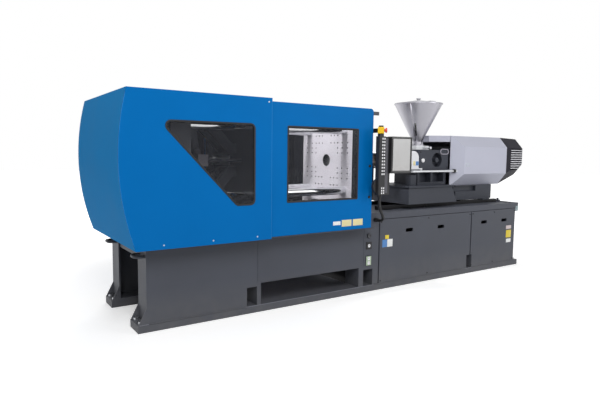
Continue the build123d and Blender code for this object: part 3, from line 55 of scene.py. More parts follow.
lens.clip_end = 60.0
camera = bpy.data.objects.new("photo_camera", lens)
camera.matrix_world = Matrix([
    (across[k], upward[k], -look[k], camera_place[k]) for k in range(3)
] + [(0.0, 0.0, 0.0, 1.0)])
bpy.context.collection.objects.link(camera)
bpy.context.scene.camera = camera
bpy.context.scene.view_settings.view_transform = "Standard"


# Floor and light
# A pale floor under a plain white room. Three broad soft lamps stand in for the studio: a key from
# above the operator's side, a fill from the injection end and one behind that lights the rear. A
# smaller one with a grid shines down between the gates on the fixed platen.
def reckoned(tree, operation, first, second):
    """Output of a Math node, whose two inputs are sockets or numbers."""
    step = tree.nodes.new("ShaderNodeMath")
    step.operation = operation
    for given, socket in zip((first, second), step.inputs):
        if isinstance(given, bpy.types.NodeSocket):
            tree.links.new(given, socket)
        else:
            socket.default_value = given
    return step.outputs[0]


def ranged(tree, source, start, stop, low, high):
    """Output of a Map Range node: source from start to stop becomes low to high, linearly."""
    step = tree.nodes.new("ShaderNodeMapRange")
    for socket, value in (("From Min", start), ("From Max", stop), ("To Min", low), ("To Max", high)):
        step.inputs[socket].default_value = value
    tree.links.new(source, step.inputs["Value"])
    return step.outputs["Result"]


def rays_that_see_white(tree):
    """Value of 1 for camera, glossy and transmitted rays and 0 for all others: the largest of the three."""
    path = tree.nodes.new("ShaderNodeLightPath").outputs
    seen = reckoned(tree, "MAXIMUM", path["Is Camera Ray"], path["Is Glossy Ray"])
    return reckoned(tree, "MAXIMUM", seen, path["Is Transmission Ray"])


room = bpy.data.worlds.new("white_room")
room.use_nodes = True
bpy.context.scene.world = room
room_tree = room.node_tree
room_light = room_tree.nodes["Background"].inputs
room_light["Color"].default_value = (1.0, 1.0, 1.0, 1.0)
lamp_level, seen_level = 0.26, 1.0
room_tree.links.new(ranged(room_tree, rays_that_see_white(room_tree), 0.0, 1.0, lamp_level, seen_level),
                    room_light["Strength"])

floor_finish = bpy.data.materials.new("pale_floor")
floor_finish.use_nodes = True
floor_tree = floor_finish.node_tree
floor_shader = floor_tree.nodes["Principled BSDF"].inputs
floor_shader["Base Color"].default_value = (0.9, 0.9, 0.9, 1.0)
floor_shader["Roughness"].default_value = 0.9
floor_place = floor_tree.nodes.new("ShaderNodeTexCoord")
from_machine = floor_tree.nodes.new("ShaderNodeVectorMath")
from_machine.operation = "LENGTH"
floor_tree.links.new(floor_place.outputs["Object"], from_machine.inputs[0])
near, far, near_glow, far_glow = 2.6, 5.5, 0.42, 1.0
floor_glow = ranged(floor_tree, from_machine.outputs["Value"], near, far, near_glow, far_glow)
floor_glow = reckoned(floor_tree, "MULTIPLY", rays_that_see_white(floor_tree), floor_glow)
floor_shader["Emission Color"].default_value = (1.0, 1.0, 1.0, 1.0)
floor_tree.links.new(floor_glow, floor_shader["Emission Strength"])
floor_reach, floor_drop = 30.0, 0.001
floor_mesh = bpy.data.meshes.new("floor")
floor_mesh.from_pydata(
    [(x * floor_reach, y * floor_reach, -floor_drop) for x, y in ((-1, -1), (1, -1), (1, 1), (-1, 1))],
    [], [(0, 1, 2, 3)],
)
floor_mesh.materials.append(floor_finish)
floor = bpy.data.objects.new("floor", floor_mesh)
bpy.context.collection.objects.link(floor)


def soft_lamp(name, place, aim, size, power):
    """Square area lamp at place, turned so that its own -Z looks at aim."""
    lamp = bpy.data.lights.new(name, "AREA")
    lamp.size = size
    lamp.energy = power
    holder = bpy.data.objects.new(name, lamp)
    bpy.context.collection.objects.link(holder)
    away = np.array(place, float) - np.array(aim, float)
    away /= np.linalg.norm(away)
    side = np.cross((0.0, 0.0, 1.0), away)
    side /= np.linalg.norm(side)
    top = np.cross(away, side)
    rows = [(side[k], top[k], away[k], place[k]) for k in range(3)]
    holder.matrix_world = Matrix(rows + [(0.0, 0.0, 0.0, 1.0)])


soft_lamp("key_lamp", (-3.2, -5.4, 5.4), (-0.6, 0.0, 0.8), size=3.4, power=285.0)
soft_lamp("fill_lamp", (3.6, -5.4, 3.4), (0.6, 0.0, 0.8), size=3.2, power=105.0)
soft_lamp("rear_lamp", (1.0, 6.0, 4.6), (0.0, 0.0, 0.8), size=3.6, power=190.0)
soft_lamp("mould_lamp", (-2.1, -0.1, 3.9), (-0.26, 0.0, 1.17), size=1.1, power=6.6)
bpy.data.lights["mould_lamp"].spread = math.radians(27.0)


# Console cable
# A black rubber flex of 25 mm that hangs from the gland under the post and runs back into the gland
# on the service column. The whole of it shows in the photograph, so its length is 0.36 m.
def mottled(tree, source, colour, mottle):
    """Output of a ramp: source from 0.3 to 0.7 takes the colour from a share mottle darker to one lighter."""
    ramp = tree.nodes.new("ShaderNodeValToRGB")
    for stop, place, share in zip(ramp.color_ramp.elements, (0.3, 0.7), (1.0 - mottle, 1.0 + mottle)):
        stop.position = place
        stop.color = tuple(min(1.0, part * share) for part in colour) + (1.0,)
    tree.links.new(source, ramp.inputs["Fac"])
    return ramp.outputs["Color"]


def noise(tree, vector, scale, detail):
    """Output of a noise of the scale and detail on a vector socket."""
    cloud = tree.nodes.new("ShaderNodeTexNoise")
    cloud.inputs["Scale"].default_value = scale
    cloud.inputs["Detail"].default_value = detail
    tree.links.new(vector, cloud.inputs["Vector"])
    return cloud.outputs["Fac"]


def raised(tree, source, height, normal):
    """Lift the surface by source times the height, through the shader's normal socket."""
    bump = tree.nodes.new("ShaderNodeBump")
    bump.inputs["Distance"].default_value = height
    tree.links.new(source, bump.inputs["Height"])
    tree.links.new(bump.outputs["Normal"], normal)


def rough_skin(name, colour, roughness, metallic=0.0, mottle=0.06, grain=900.0, relief=0.00006,
               coat=0.0, blotch=0.06, shine=0.35):
    """Shader for a coated or moulded surface. Two noises on Object coordinates work on it: a broad one,
    of 3 per metre, shifts the colour by mottle and the roughness by blotch, and a fine one of grain per
    metre lifts the surface by relief."""
    finish = bpy.data.materials.new(name)
    finish.use_nodes = True
    tree = finish.node_tree
    shader = tree.nodes["Principled BSDF"].inputs
    shader["Metallic"].default_value = metallic
    shader["Specular IOR Level"].default_value = shine
    shader["Coat Weight"].default_value = coat
    shader["Coat Roughness"].default_value = 0.12
    place = tree.nodes.new("ShaderNodeTexCoord").outputs["Object"]
    wide = noise(tree, place, 3.0, 5.0)
    tree.links.new(mottled(tree, wide, colour, mottle), shader["Base Color"])
    tree.links.new(ranged(tree, wide, 0.3, 0.7, roughness - blotch, roughness + blotch), shader["Roughness"])
    raised(tree, noise(tree, place, grain, 2.0), relief, shader["Normal"])
    return finish


def place_piece(name, mesh, finish, body):
    """Hang a finished mesh in the scene at the origin and let it ride on its CAD body."""
    mesh.materials.append(finish)
    mesh.polygons.foreach_set("use_smooth", np.ones(len(mesh.polygons), bool))
    piece = bpy.data.objects.new(name, mesh)
    bpy.context.collection.objects.link(piece)
    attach(piece, body)
    return piece


def dress(finish, *names):
    """Give the CAD pieces of these names the finish, in every material slot."""
    for name in names:
        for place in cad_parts[name].material_slots:
            place.material = finish


cable_rubber = rough_skin("cable_rubber", (0.012, 0.012, 0.013), 0.55, mottle=0.2, grain=1500.0)
cable_diameter = 0.025
cable_route = np.array([
    (-150, -612, 878), (-150, -612, 812), (-130, -608, 751), (-88, -594, 705),
    (-50, -562, 668), (-28, -512, 646), (-28, -460, 646),
]) / 1000
cable_line = bpy.data.curves.new("cable_flex", "CURVE")
cable_line.dimensions = "3D"
cable_line.bevel_depth = cable_diameter / 2
cable_line.bevel_resolution = 6
cable_line.resolution_u = 16
flex = cable_line.splines.new("NURBS")
flex.points.add(len(cable_route) - 1)
flex.points.foreach_set("co", np.c_[cable_route, np.ones(len(cable_route))].ravel())
flex.order_u = 3
flex.use_endpoint_u = True
cable_line.materials.append(cable_rubber)
cable_flex = bpy.data.objects.new("cable_flex", cable_line)
bpy.context.collection.objects.link(cable_flex)
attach(cable_flex, "machine")
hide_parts("cable")


def skin(name, grid, looped=False):
    """Mesh of a tube of rings: grid[i, j] is point j of ring i. Each ring is joined to the next by
    four-sided faces and the last point of a ring to its first. The end rings are joined too where
    the tube is looped, and covered where it isn't."""
    rings, points = grid.shape[:2]
    index = np.arange(rings * points).reshape(rings, points)
    if looped:
        index = np.vstack((index, index[:1]))
    onward = np.roll(index, -1, axis=1)
    faces = np.stack((index[:-1], onward[:-1], onward[1:], index[1:]), axis=-1).reshape(-1, 4).tolist()
    if not looped:
        faces += [index[0, ::-1].tolist(), index[-1].tolist()]
    mesh = bpy.data.meshes.new(name)
    mesh.from_pydata(grid.reshape(-1, 3).tolist(), [], faces)
    mesh.update()
    return mesh


def turned(name, profile, centre, axis, ring=24, looped=False):
    """Skin of a turned piece: a point of the profile (radius r, height h) goes round the axis as
    centre + h * axis + r * (cos t * side + sin t * top). Points run from the low end to the high end, and
    back down the bore where the piece is looped, as a bush is."""
    profile = np.array(profile, float)
    axis = np.array(axis, float) / np.linalg.norm(axis)
    side = np.cross(axis, (0.3, 0.9, 0.1) if abs(axis[1]) < 0.8 else (1.0, 0.0, 0.0))
    side /= np.linalg.norm(side)
    top = np.cross(axis, side)
    t = np.linspace(0, 2 * math.pi, ring, endpoint=False)
    circle = np.cos(t)[:, None] * side + np.sin(t)[:, None] * top
    grid = np.array(centre) + profile[:, 1, None, None] * axis + profile[:, 0, None, None] * circle[None]
    return skin(name, grid, looped)


gland_sleeve = [(0.0185, 0.0), (0.0185, 0.004), (0.0165, 0.005), (0.0165, 0.009), (0.0155, 0.010),
                (0.0155, 0.016), (0.0145, 0.017), (0.0142, 0.030), (0.0132, 0.038), (0.0128, 0.040)]
top_sleeve = place_piece(
    "cable_sleeve_top", turned("cable_sleeve_top", gland_sleeve, (-0.150, -0.612, 0.879), (0, 0, -1)),
    cable_rubber, "machine")
column_sleeve = place_piece(
    "cable_sleeve_column", turned("cable_sleeve_column", gland_sleeve, (-0.028, -0.4595, 0.646), (0, -1, 0)),
    cable_rubber, "machine")


# Welded bed
# Runners, legs, decks and frames are welded from steel plate and sprayed with a dark grey textured
# enamel. It is a little dusty near the floor.
def recoloured(finish, share, colour):
    """Blend the finish's colour to another by the share that a socket gives."""
    tree = finish.node_tree
    base = tree.nodes["Principled BSDF"].inputs["Base Color"]
    blend = tree.nodes.new("ShaderNodeMix")
    blend.data_type = "RGBA"
    blend.inputs["B"].default_value = tuple(colour) + (1.0,)
    tree.links.new(share, blend.inputs["Factor"])
    tree.links.new(base.links[0].from_socket, blend.inputs["A"])
    tree.links.new(blend.outputs["Result"], base)
    return finish


def dust_and_shade(finish, foot_colour, low, high):
    """Mix the finish's colour towards the given colour, by 0.55 at the height low and by nothing at the height
    high:
    real dust on the bed, painted shade on the screen. The share falls linearly with Object z and is broken up
    by a noise of the size of a hand."""
    tree = finish.node_tree
    place = tree.nodes.new("ShaderNodeTexCoord").outputs["Object"]
    parts = tree.nodes.new("ShaderNodeSeparateXYZ")
    tree.links.new(place, parts.inputs["Vector"])
    share = ranged(tree, parts.outputs["Z"], low, high, 0.55, 0.0)
    return recoloured(finish, reckoned(tree, "MULTIPLY", share, noise(tree, place, 9.0, 6.0)), foot_colour)


bed_enamel = dust_and_shade(rough_skin("bed_enamel", (0.066, 0.071, 0.088), 0.5, mottle=0.07, grain=700.0,
                                  relief=0.00012, shine=0.25), foot_colour=(0.16, 0.155, 0.15), low=0.0, high=0.3)
dress(bed_enamel, "floor_runners", "leg_boxes", "side_beams", "clamp_deck", "cross_members",
      "service_columns", "unit_deck", "unit_frames", "end_plate", "front_panels", "rear_panels")
cabinet_enamel = rough_skin("cabinet_enamel", (0.045, 0.047, 0.055), 0.45, mottle=0.06)
dress(cabinet_enamel, "drive_cabinet")


def joined(name, meshes):
    """One mesh out of several: their points stacked, their faces renumbered by the points before them."""
    points, faces, before = [], [], 0
    for mesh in meshes:
        co = np.empty(len(mesh.vertices) * 3)
        mesh.vertices.foreach_get("co", co)
        points.append(co.reshape(-1, 3))
        faces += [[corner + before for corner in face.vertices] for face in mesh.polygons]
        before += len(mesh.vertices)
        bpy.data.meshes.remove(mesh)
    whole = bpy.data.meshes.new(name)
    whole.from_pydata(np.vstack(points).tolist(), [], faces)
    whole.update()
    return whole


def weld_bead(start, end, width):
    """Skin of a weld bead: a round ridge carried from start to end, whose radius swells and shrinks as
    |sin| along the run, one scallop every 12 mm, and closes at both ends."""
    ripple = 0.012
    start, end = np.array(start, float), np.array(end, float)
    run = np.linalg.norm(end - start)
    along = (end - start) / run
    side = np.cross(along, (0.0, 0.0, 1.0))
    side /= np.linalg.norm(side)
    top = np.cross(along, side)
    steps = max(4, int(run / ripple * 2))
    s = np.linspace(0, run, steps + 1)
    radius = width * (0.8 + 0.2 * np.abs(np.sin(math.pi * s / ripple)))
    radius[[0, -1]] = width * 0.2
    t = np.linspace(0, 2 * math.pi, 6, endpoint=False)
    circle = np.cos(t)[:, None] * side + np.sin(t)[:, None] * top
    return skin("bead", start + s[:, None, None] * along + radius[:, None, None] * circle[None])


runner_top, bed_side = 0.057, 0.4385
long_welds, long_width = ((-2.085, -1.335), (-0.03, 1.26), (1.352, 2.07)), 0.0055
post_edges, post_foot, post_head, post_width = (-1.2325, -0.1545), 0.24, 0.57, 0.0025
post_lean = 0.0005
welds = [
    weld_bead((west, side * bed_side, runner_top), (east, side * bed_side, runner_top), long_width)
    for side in (-1, 1) for west, east in long_welds
]
welds += [
    weld_bead((edge, side * bed_side, post_foot), (edge + post_lean, side * bed_side, post_head), post_width)
    for side in (-1, 1) for edge in post_edges
]
place_piece("weld_beads", joined("weld_beads", welds), bed_enamel, "machine")


# Panel screws
# Round-headed screws of blackened steel with a hexagon socket hold the lift-off panels of the bed,
# twelve at the operator's side and twelve behind.
button_head = [(0.0052, 0.0), (0.0075, 0.0), (0.0075, 0.0008), (0.0068, 0.0024), (0.0052, 0.0036),
               (0.0040, 0.0040), (0.0034, 0.0040), (0.0034, 0.0014)]
blackened_steel = rough_skin("blackened_steel", (0.02, 0.02, 0.022), 0.32, metallic=0.7, mottle=0.2)
panel_screw_x = (0.052, 0.673, 1.294, 1.346, 1.705, 2.064)
panel_screw_z = (0.080, 0.620)
panel_face = 0.438
panel_screws = [
    turned("screw", button_head, (x, side * panel_face, z), (0, side, 0), ring=16)
    for side in (-1, 1) for x in panel_screw_x for z in panel_screw_z
]
place_piece("panel_screws", joined("panel_screws", panel_screws), blackened_steel, "machine")


# Tray end sheet
# A dark steel sheet at the end of the tray space under the mould. It keeps dropped parts from rolling
# in between the service columns and is tacked to the runners.
def plates(name, spans, rim, steps=2):
    """Mesh of many blocks with rounded edges, one per (low corner, high corner). Each is the points of a
    unit ball pushed apart: ball point * rim + the half size less rim, with the sign of the ball point."""
    u = (np.arange(8 * steps) + 0.5) * math.pi / (4 * steps)
    v = (np.arange(4 * steps) + 0.5) * math.pi / (4 * steps) - math.pi / 2
    ball = np.stack((np.cos(v)[:, None] * np.cos(u), np.cos(v)[:, None] * np.sin(u),
                     np.sin(v)[:, None] * np.ones_like(u)), axis=-1)
    meshes = []
    for low, high in np.array(spans, float):
        half = (high - low) / 2
        edge = np.minimum(rim, half * 0.98)
        meshes.append(skin(name, (low + high) / 2 + ball * edge + np.sign(ball) * (half - edge)))
    return joined(name, meshes)


tray_west, tray_east, tray_half = -0.1500, -0.1475, 0.2525
tray_foot, tray_top = 0.003, 0.262
tray_sheet = plates("tray_end_sheet", [
    ((tray_west, -tray_half, tray_foot), (tray_east, tray_half, tray_top))], rim=0.0008)
place_piece("tray_end_sheet", tray_sheet, blackened_steel, "machine")


# Runner edges
# The upper edge of each floor runner, coloured paler than the enamel as a painted highlight. It is a
# slim rounded bead along the outer face.
# A pale grey bead as a painted highlight on the runner's upper edge.
runner_highlight = rough_skin("runner_highlight", (0.165, 0.172, 0.205), 0.4, mottle=0.2, grain=300.0)
edge_west, edge_east = -2.150, 2.070
edge_inner, edge_outer = 0.4372, 0.4390
edge_foot, edge_top = 0.0530, 0.0575
edges = plates("runner_edges", [
    ((edge_west, first, edge_foot), (edge_east, last, edge_top))
    for first, last in ((-edge_outer, -edge_inner), (edge_inner, edge_outer))], rim=0.0008)
place_piece("runner_edges", edges, runner_highlight, "machine")


# Levelling screws, tie bar nuts and ejector
# Turned from plain steel and left bright. Fine rings from the lathe catch the light.
def machined(name, colour, roughness, lines, axis, depth=0.00004, mottle=0.05, metallic=1.0):
    """Shader for bright cut metal. A noise stretched along one Object axis (scale lines across it, a
    twentieth of that along it) lifts the surface and shifts the roughness, as tool marks do."""
    finish = bpy.data.materials.new(name)
    finish.use_nodes = True
    tree = finish.node_tree
    shader = tree.nodes["Principled BSDF"].inputs
    shader["Metallic"].default_value = metallic
    place = tree.nodes.new("ShaderNodeTexCoord")
    stretch = tree.nodes.new("ShaderNodeMapping")
    stretch.inputs["Scale"].default_value = [lines / 20 if k == axis else lines for k in range(3)]
    tree.links.new(place.outputs["Object"], stretch.inputs["Vector"])
    marks = noise(tree, stretch.outputs["Vector"], 1.0, 3.0)
    tree.links.new(mottled(tree, marks, colour, mottle), shader["Base Color"])
    tree.links.new(ranged(tree, marks, 0.25, 0.75, max(0.03, roughness - 0.08), roughness + 0.08),
                   shader["Roughness"])
    raised(tree, marks, depth, shader["Normal"])
    return finish


turned_steel = machined("turned_steel", (0.55, 0.56, 0.58), 0.34, lines=900.0, axis=0)
dress(turned_steel, "levelling_screws", "height_nuts", "ejector")


# Platens
# Steel castings. The fixed platen is milled bright all over, the moving one only on its mould face, and the
# rear one, which carries the toggle, is painted all round. Dark cups in the bolt holes and the nozzle cone are
# painted shade in these hollows.
def within(finish, low, high, colour):
    """Change the finish's colour to another inside the block from low to high. There the greatest of
    |point - middle| - half size over the three Object axes is below 0."""
    middle, half = (np.array(low) + high) / 2, (np.array(high) - low) / 2
    tree = finish.node_tree
    step = tree.nodes.new("ShaderNodeTexCoord").outputs["Object"]
    for operation, value in (("SUBTRACT", middle), ("ABSOLUTE", None), ("SUBTRACT", half)):
        shift = tree.nodes.new("ShaderNodeVectorMath")
        shift.operation = operation
        tree.links.new(step, shift.inputs[0])
        if value is not None:
            shift.inputs[1].default_value = value
        step = shift.outputs["Vector"]
    parts = tree.nodes.new("ShaderNodeSeparateXYZ")
    tree.links.new(step, parts.inputs["Vector"])
    greatest = reckoned(tree, "MAXIMUM", parts.outputs["X"], parts.outputs["Y"])
    greatest = reckoned(tree, "MAXIMUM", greatest, parts.outputs["Z"])
    return recoloured(finish, reckoned(tree, "LESS_THAN", greatest, 0.0), colour)


platen_steel = machined("platen_steel", (0.82, 0.79, 0.86), 0.55, lines=260.0, axis=1, depth=0.00003,
                        metallic=0.1)
dress(platen_steel, "fixed_platen")
faced_casting = within(
    machined("faced_casting", (0.86, 0.85, 0.88), 0.5, lines=260.0, axis=1, depth=0.00003, metallic=0.25),
    low=(-1.40, -0.40, 0.50), high=(-1.0755, 0.40, 1.60), colour=(0.045, 0.046, 0.058))
dress(faced_casting, "moving_platen")
cast_enamel = rough_skin("cast_enamel", (0.045, 0.046, 0.058), 0.42, mottle=0.12, grain=260.0, relief=0.0004)
dress(cast_enamel, "rear_platen")
# Near-black finish of the cups set into the bolt holes and the nozzle cone: painted shade in these hollows.
painted_hole_shade = rough_skin("painted_hole_shade", (0.016, 0.016, 0.018), 0.35, metallic=0.4, mottle=0.3, grain=1600.0)
machine_axis = 1.17
fixed_face = -0.255
moving_face = -1.075
inner_y, outer_y = (0.066, 0.115, 0.165), (0.165, 0.228, 0.305)
quarter = [(y, z) for z in (0.225, 0.159) for y in inner_y]
quarter += [(y, 0.159) for y in outer_y[1:]] + [(y, z) for y in outer_y for z in (0.068, 0.113)]
bolt_places = [(a * y, b * z) for y, z in quarter for a in (-1, 1) for b in (-1, 1)]
shade_cup_profile = [(0.0066, -0.029), (0.0066, -0.0003), (0.0058, -0.0003), (0.0055, -0.0012), (0.0055, -0.028)]
for name, face, into, body in (
    ("fixed_platen_hole_shade", fixed_face, -1, "machine"),
    ("moving_platen_hole_shade", moving_face, 1, "moving_platen"),
):
    cups = [
        turned("cup", shade_cup_profile, (face, y, machine_axis + z), (into, 0, 0), ring=10) for y, z in bolt_places
    ]
    place_piece(name, joined(name, cups), painted_hole_shade, body)
cone_shade_profile = [(0.0547, 0.0005), (0.0547, 0.0395), (0.1194, 0.1690), (0.1186, 0.1690), (0.0537, 0.0400),
              (0.0537, 0.0005)]
cone_shade_mesh = turned("nozzle_cone_shade", cone_shade_profile, (fixed_face, 0.0, machine_axis), (1, 0, 0), ring=48,
               looped=True)
place_piece("nozzle_cone_shade", cone_shade_mesh, painted_hole_shade, "machine")


# Mould space shade sheets
# Black folded sheets round the fixed platen as painted shade in the mould space: one across each gap between
# the platen and the gates, and one along each of the platen's flanks. They are screwed to it.
# Near-black finish of the sheets that stand in for shade in the gaps and on the platen's flanks. The deck plugs
# share it.
shade_and_plug_black = rough_skin("shade_and_plug_black", (0.010, 0.010, 0.013), 0.55, mottle=0.2, grain=800.0, shine=0.15)
sheet_back = fixed_face - 0.006
gap_front, gap_inner, gap_outer, gap_foot, gap_top = fixed_face - 0.001, 0.377, 0.537, 0.606, 1.555
flank_front, flank_inner, flank_outer, flank_foot, flank_top = fixed_face + 0.060, 0.3755, 0.379, 0.860, 1.480
shade_sheets = plates("platen_shade_sheets", [
    ((sheet_back, first, gap_foot), (gap_front, last, gap_top))
    for first, last in ((-gap_outer, -gap_inner), (gap_inner, gap_outer))] + [
    ((sheet_back, first, flank_foot), (flank_front, last, flank_top))
    for first, last in ((-flank_outer, -flank_inner), (flank_inner, flank_outer))], rim=0.0012)
place_piece("platen_shade_sheets", shade_sheets, shade_and_plug_black, "machine")


# Tie bars and clamp screw
# Ground and hard-chromed bars, bright as a mirror, and the ball screw that drives the crosshead.
hard_chrome = machined("hard_chrome", (0.78, 0.79, 0.81), 0.12, lines=1200.0, axis=1, depth=0.00001,
                       mottle=0.02)
dress(hard_chrome, "tie_bars", "clamp_screw")


# Toggle links, crosshead and clamp motor
# Ductile iron castings in dark enamel that swing on pins, a grey crosshead that pushes them, and a
# plain black motor block that turns the screw.
dress(cast_enamel, "upper_rear_link", "lower_rear_link", "upper_front_link", "lower_front_link",
      "upper_drive_link", "lower_drive_link")
block_grey = rough_skin("block_grey", (0.20, 0.19, 0.22), 0.45, mottle=0.1, grain=300.0, relief=0.0003)
dress(block_grey, "crosshead")
motor_enamel = rough_skin("motor_enamel", (0.015, 0.015, 0.017), 0.4, mottle=0.1)
dress(motor_enamel, "clamp_motor")


# Drop chute
# Two bent sheets of brushed stainless under the mould, lightly scratched by parts that slide on them.
brushed_sheet = machined("brushed_sheet", (0.38, 0.375, 0.41), 0.36, lines=500.0, axis=0, depth=0.00003)
dress(brushed_sheet, "drop_chute")


# Clamp cover
# Folded steel sheets in blue powder coat with a faint orange peel, painted black inside the cover and the gates
# as painted shade. The end sheet is rolled to a slight bulge. Small zinc screws hold the front and rear sheets
# at their foot.
cover_paint = dict(roughness=0.45, mottle=0.02, grain=420.0, relief=0.00005, blotch=0.03, shine=0.06)
cover_blue, inner_shade_black = (0.0, 0.138, 0.430), (0.010, 0.010, 0.012)
# The rolled end sheet gets a lighter blue than the front sheets: painted light on that face.
lit_end_blue = rough_skin("lit_end_blue", (0.012, 0.255, 0.620), **{**cover_paint, "roughness": 0.6, "shine": 0.02})
dress(lit_end_blue, "end_cover")
# Inside the box from low to high the cover's inner faces are painted black as painted shade.
shaded_cover = within(rough_skin("shaded_cover", cover_blue, **cover_paint),
                     low=(-2.4, -0.5875, 0.5), high=(-1.1, 0.5875, 1.6275), colour=inner_shade_black)
dress(shaded_cover, "front_cover", "cover_sheets")
# Inside the box from low to high the gates' inner faces are painted black as painted shade.
shaded_gate = within(rough_skin("shaded_gate", cover_blue, **cover_paint),
                    low=(-1.2275, -0.5715, 0.6085), high=(-0.2045, 0.5715, 1.6055), colour=inner_shade_black)
dress(shaded_gate, "front_gate", "rear_gate")
zinc_plate = rough_skin("zinc_plate", (0.42, 0.45, 0.50), 0.3, metallic=1.0, mottle=0.08)
sunk_head = [(0.0058, 0.0), (0.0058, 0.0006), (0.0052, 0.0010), (0.0030, 0.0010), (0.0026, 0.0002)]
cover_front, cover_rear = -0.590, 0.5895
cover_screw_places = ((-2.027, 0.622), (-1.674, 0.622), (-1.324, 0.622), (-1.232, 1.600))
cover_screws = [
    turned("screw", sunk_head, (x, face, z), (0, side, 0), ring=16)
    for side, face in ((-1, cover_front), (1, cover_rear)) for x, z in cover_screw_places
]
place_piece("cover_screws", joined("cover_screws", cover_screws), zinc_plate, "machine")


# Cover edges
# The folds at the cover's rolled end and at its joint with the gate carry a paler blue as a painted
# highlight. Each is a slim bead along the fold.
def carried(name, path, out, section):
    """Skin of a bar whose section is carried along a path. A section point (o, u) goes to the path point
    + o * out + u * (along x out), and the section's points run anticlockwise."""
    path, out, section = np.array(path, float), np.array(out, float), np.array(section, float)
    out /= np.linalg.norm(out)
    along = np.gradient(path, axis=0)
    along /= np.linalg.norm(along, axis=1)[:, None]
    up = np.cross(along, out)
    grid = path[:, None] + section[None, :, :1] * out + section[None, :, 1:] * up[:, None]
    return skin(name, grid)


def round_section(radius, points):
    """Points (radius * cos a, radius * sin a) of a round section, anticlockwise."""
    return [(radius * math.cos(a), radius * math.sin(a))
            for a in np.linspace(0, 2 * math.pi, points, endpoint=False)]


fold_top, fold_bulge, fold_foot = np.array(((-2.255, 1.630), (-2.311, 1.100), (-2.212, 0.594)))
chords = np.array((fold_bulge - fold_top, fold_foot - fold_top))
fold_centre = fold_top + np.linalg.solve(chords, (chords ** 2).sum(1) / 2)
fold_radius, fold_inset, fold_y = np.linalg.norm(fold_top - fold_centre), 0.0032, 0.5872
first_turn, last_turn = (
    math.atan2(*(end - fold_centre)[::-1]) % (2 * math.pi) for end in (fold_top, fold_foot))
turns = np.linspace(first_turn, last_turn, 28)[1:-1]
joint_x, joint_foot, joint_top = -1.2062, 0.600, 1.624
bead = round_section(0.0030, 10)
folds = []
for side in (-1, 1):
    arc = [(x, side * fold_y, z) for x, z in zip(
        fold_centre[0] + (fold_radius - fold_inset) * np.cos(turns),
        fold_centre[1] + (fold_radius - fold_inset) * np.sin(turns))]
    folds.append(carried("fold", arc, (0.0, side, 0.0), bead))
    folds.append(carried("fold", [(joint_x, side * fold_y, z) for z in (joint_foot, joint_top)],
                         (0.0, side, 0.0), bead))
# Paler blue than the cover: a painted highlight along the folds.
fold_highlight_blue = rough_skin("fold_highlight_blue", (0.06, 0.30, 0.62), 0.4, mottle=0.1, grain=500.0, shine=0.2)
place_piece("cover_fold_highlights", joined("cover_fold_highlights", folds), fold_highlight_blue, "machine")


# Windows
# Clear polycarbonate panes of 5 mm on the operator's side, very slightly smoky, and at the rear a nearly opaque
# dark one as painted shade for the mould space. Each is held by a black rubber gasket that grips the edge of
# the sheet round the opening.
def rounded_line(corners, radius, steps=5):
    """Closed line through flat corners (a, b) with each corner cut by an arc of the radius. The arc
    runs from one unit arm to the other by a spherical blend about the centre on the bisector."""
    corners = np.array(corners, float)
    back = np.roll(corners, 1, axis=0) - corners
    ahead = np.roll(corners, -1, axis=0) - corners
    back /= np.linalg.norm(back, axis=1)[:, None]
    ahead /= np.linalg.norm(ahead, axis=1)[:, None]
    half = np.arccos((back * ahead).sum(1)) / 2
    bisector = (back + ahead) / np.linalg.norm(back + ahead, axis=1)[:, None]
    centre = corners + bisector * (radius / np.sin(half))[:, None]
    reach = (radius / np.tan(half))[:, None]
    start = (corners + back * reach - centre) / radius
    end = (corners + ahead * reach - centre) / radius
    swing = (math.pi - 2 * half)[:, None]
    share = np.linspace(0, 1, steps + 1)[None]
    first, last = np.sin((1 - share) * swing) / np.sin(swing), np.sin(share * swing) / np.sin(swing)
    line = centre[:, None] + radius * (first[..., None] * start[:, None] + last[..., None] * end[:, None])
    return line.reshape(-1, 2)


def trim(name, line, face, side, profile):
    """Skin of a strip carried round a closed line in the plane y = face. A profile point (outward o,
    proud p) goes to line + o * normal of the line, and to face + p * side along Y."""
    profile = np.array(profile, float)
    along = np.roll(line, -1, axis=0) - np.roll(line, 1, axis=0)
    along /= np.linalg.norm(along, axis=1)[:, None]
    normal = np.stack((along[:, 1], -along[:, 0]), axis=-1)
    if (normal * (line - line.mean(0))).sum() < 0:
        normal = -normal
    flat = line[:, None] + profile[None, :, :1] * normal[:, None]
    proud = np.broadcast_to(face + side * profile[:, 1], flat.shape[:2])
    grid = np.stack((flat[..., 0], proud, flat[..., 1]), axis=-1)
    area = (line[:, 0] * np.roll(line[:, 1], -1) - np.roll(line[:, 0], -1) * line[:, 1]).sum()
    if area * side > 0:
        grid = grid[::-1]
    return skin(name, grid, looped=True)


def clear_sheet(name, tint, roughness, body):
    """Shader for a clear pane: the Principled surface thinned by alpha to the share body."""
    finish = bpy.data.materials.new(name)
    finish.use_nodes = True
    shader = finish.node_tree.nodes["Principled BSDF"].inputs
    shader["Base Color"].default_value = tint + (1.0,)
    shader["Roughness"].default_value = roughness
    shader["Alpha"].default_value = body
    shader["IOR"].default_value = 1.5
    return finish


smoky_pane = clear_sheet("smoky_pane", (0.05, 0.055, 0.07), 0.05, 0.14)
dress(smoky_pane, "clamp_window", "front_gate_window")
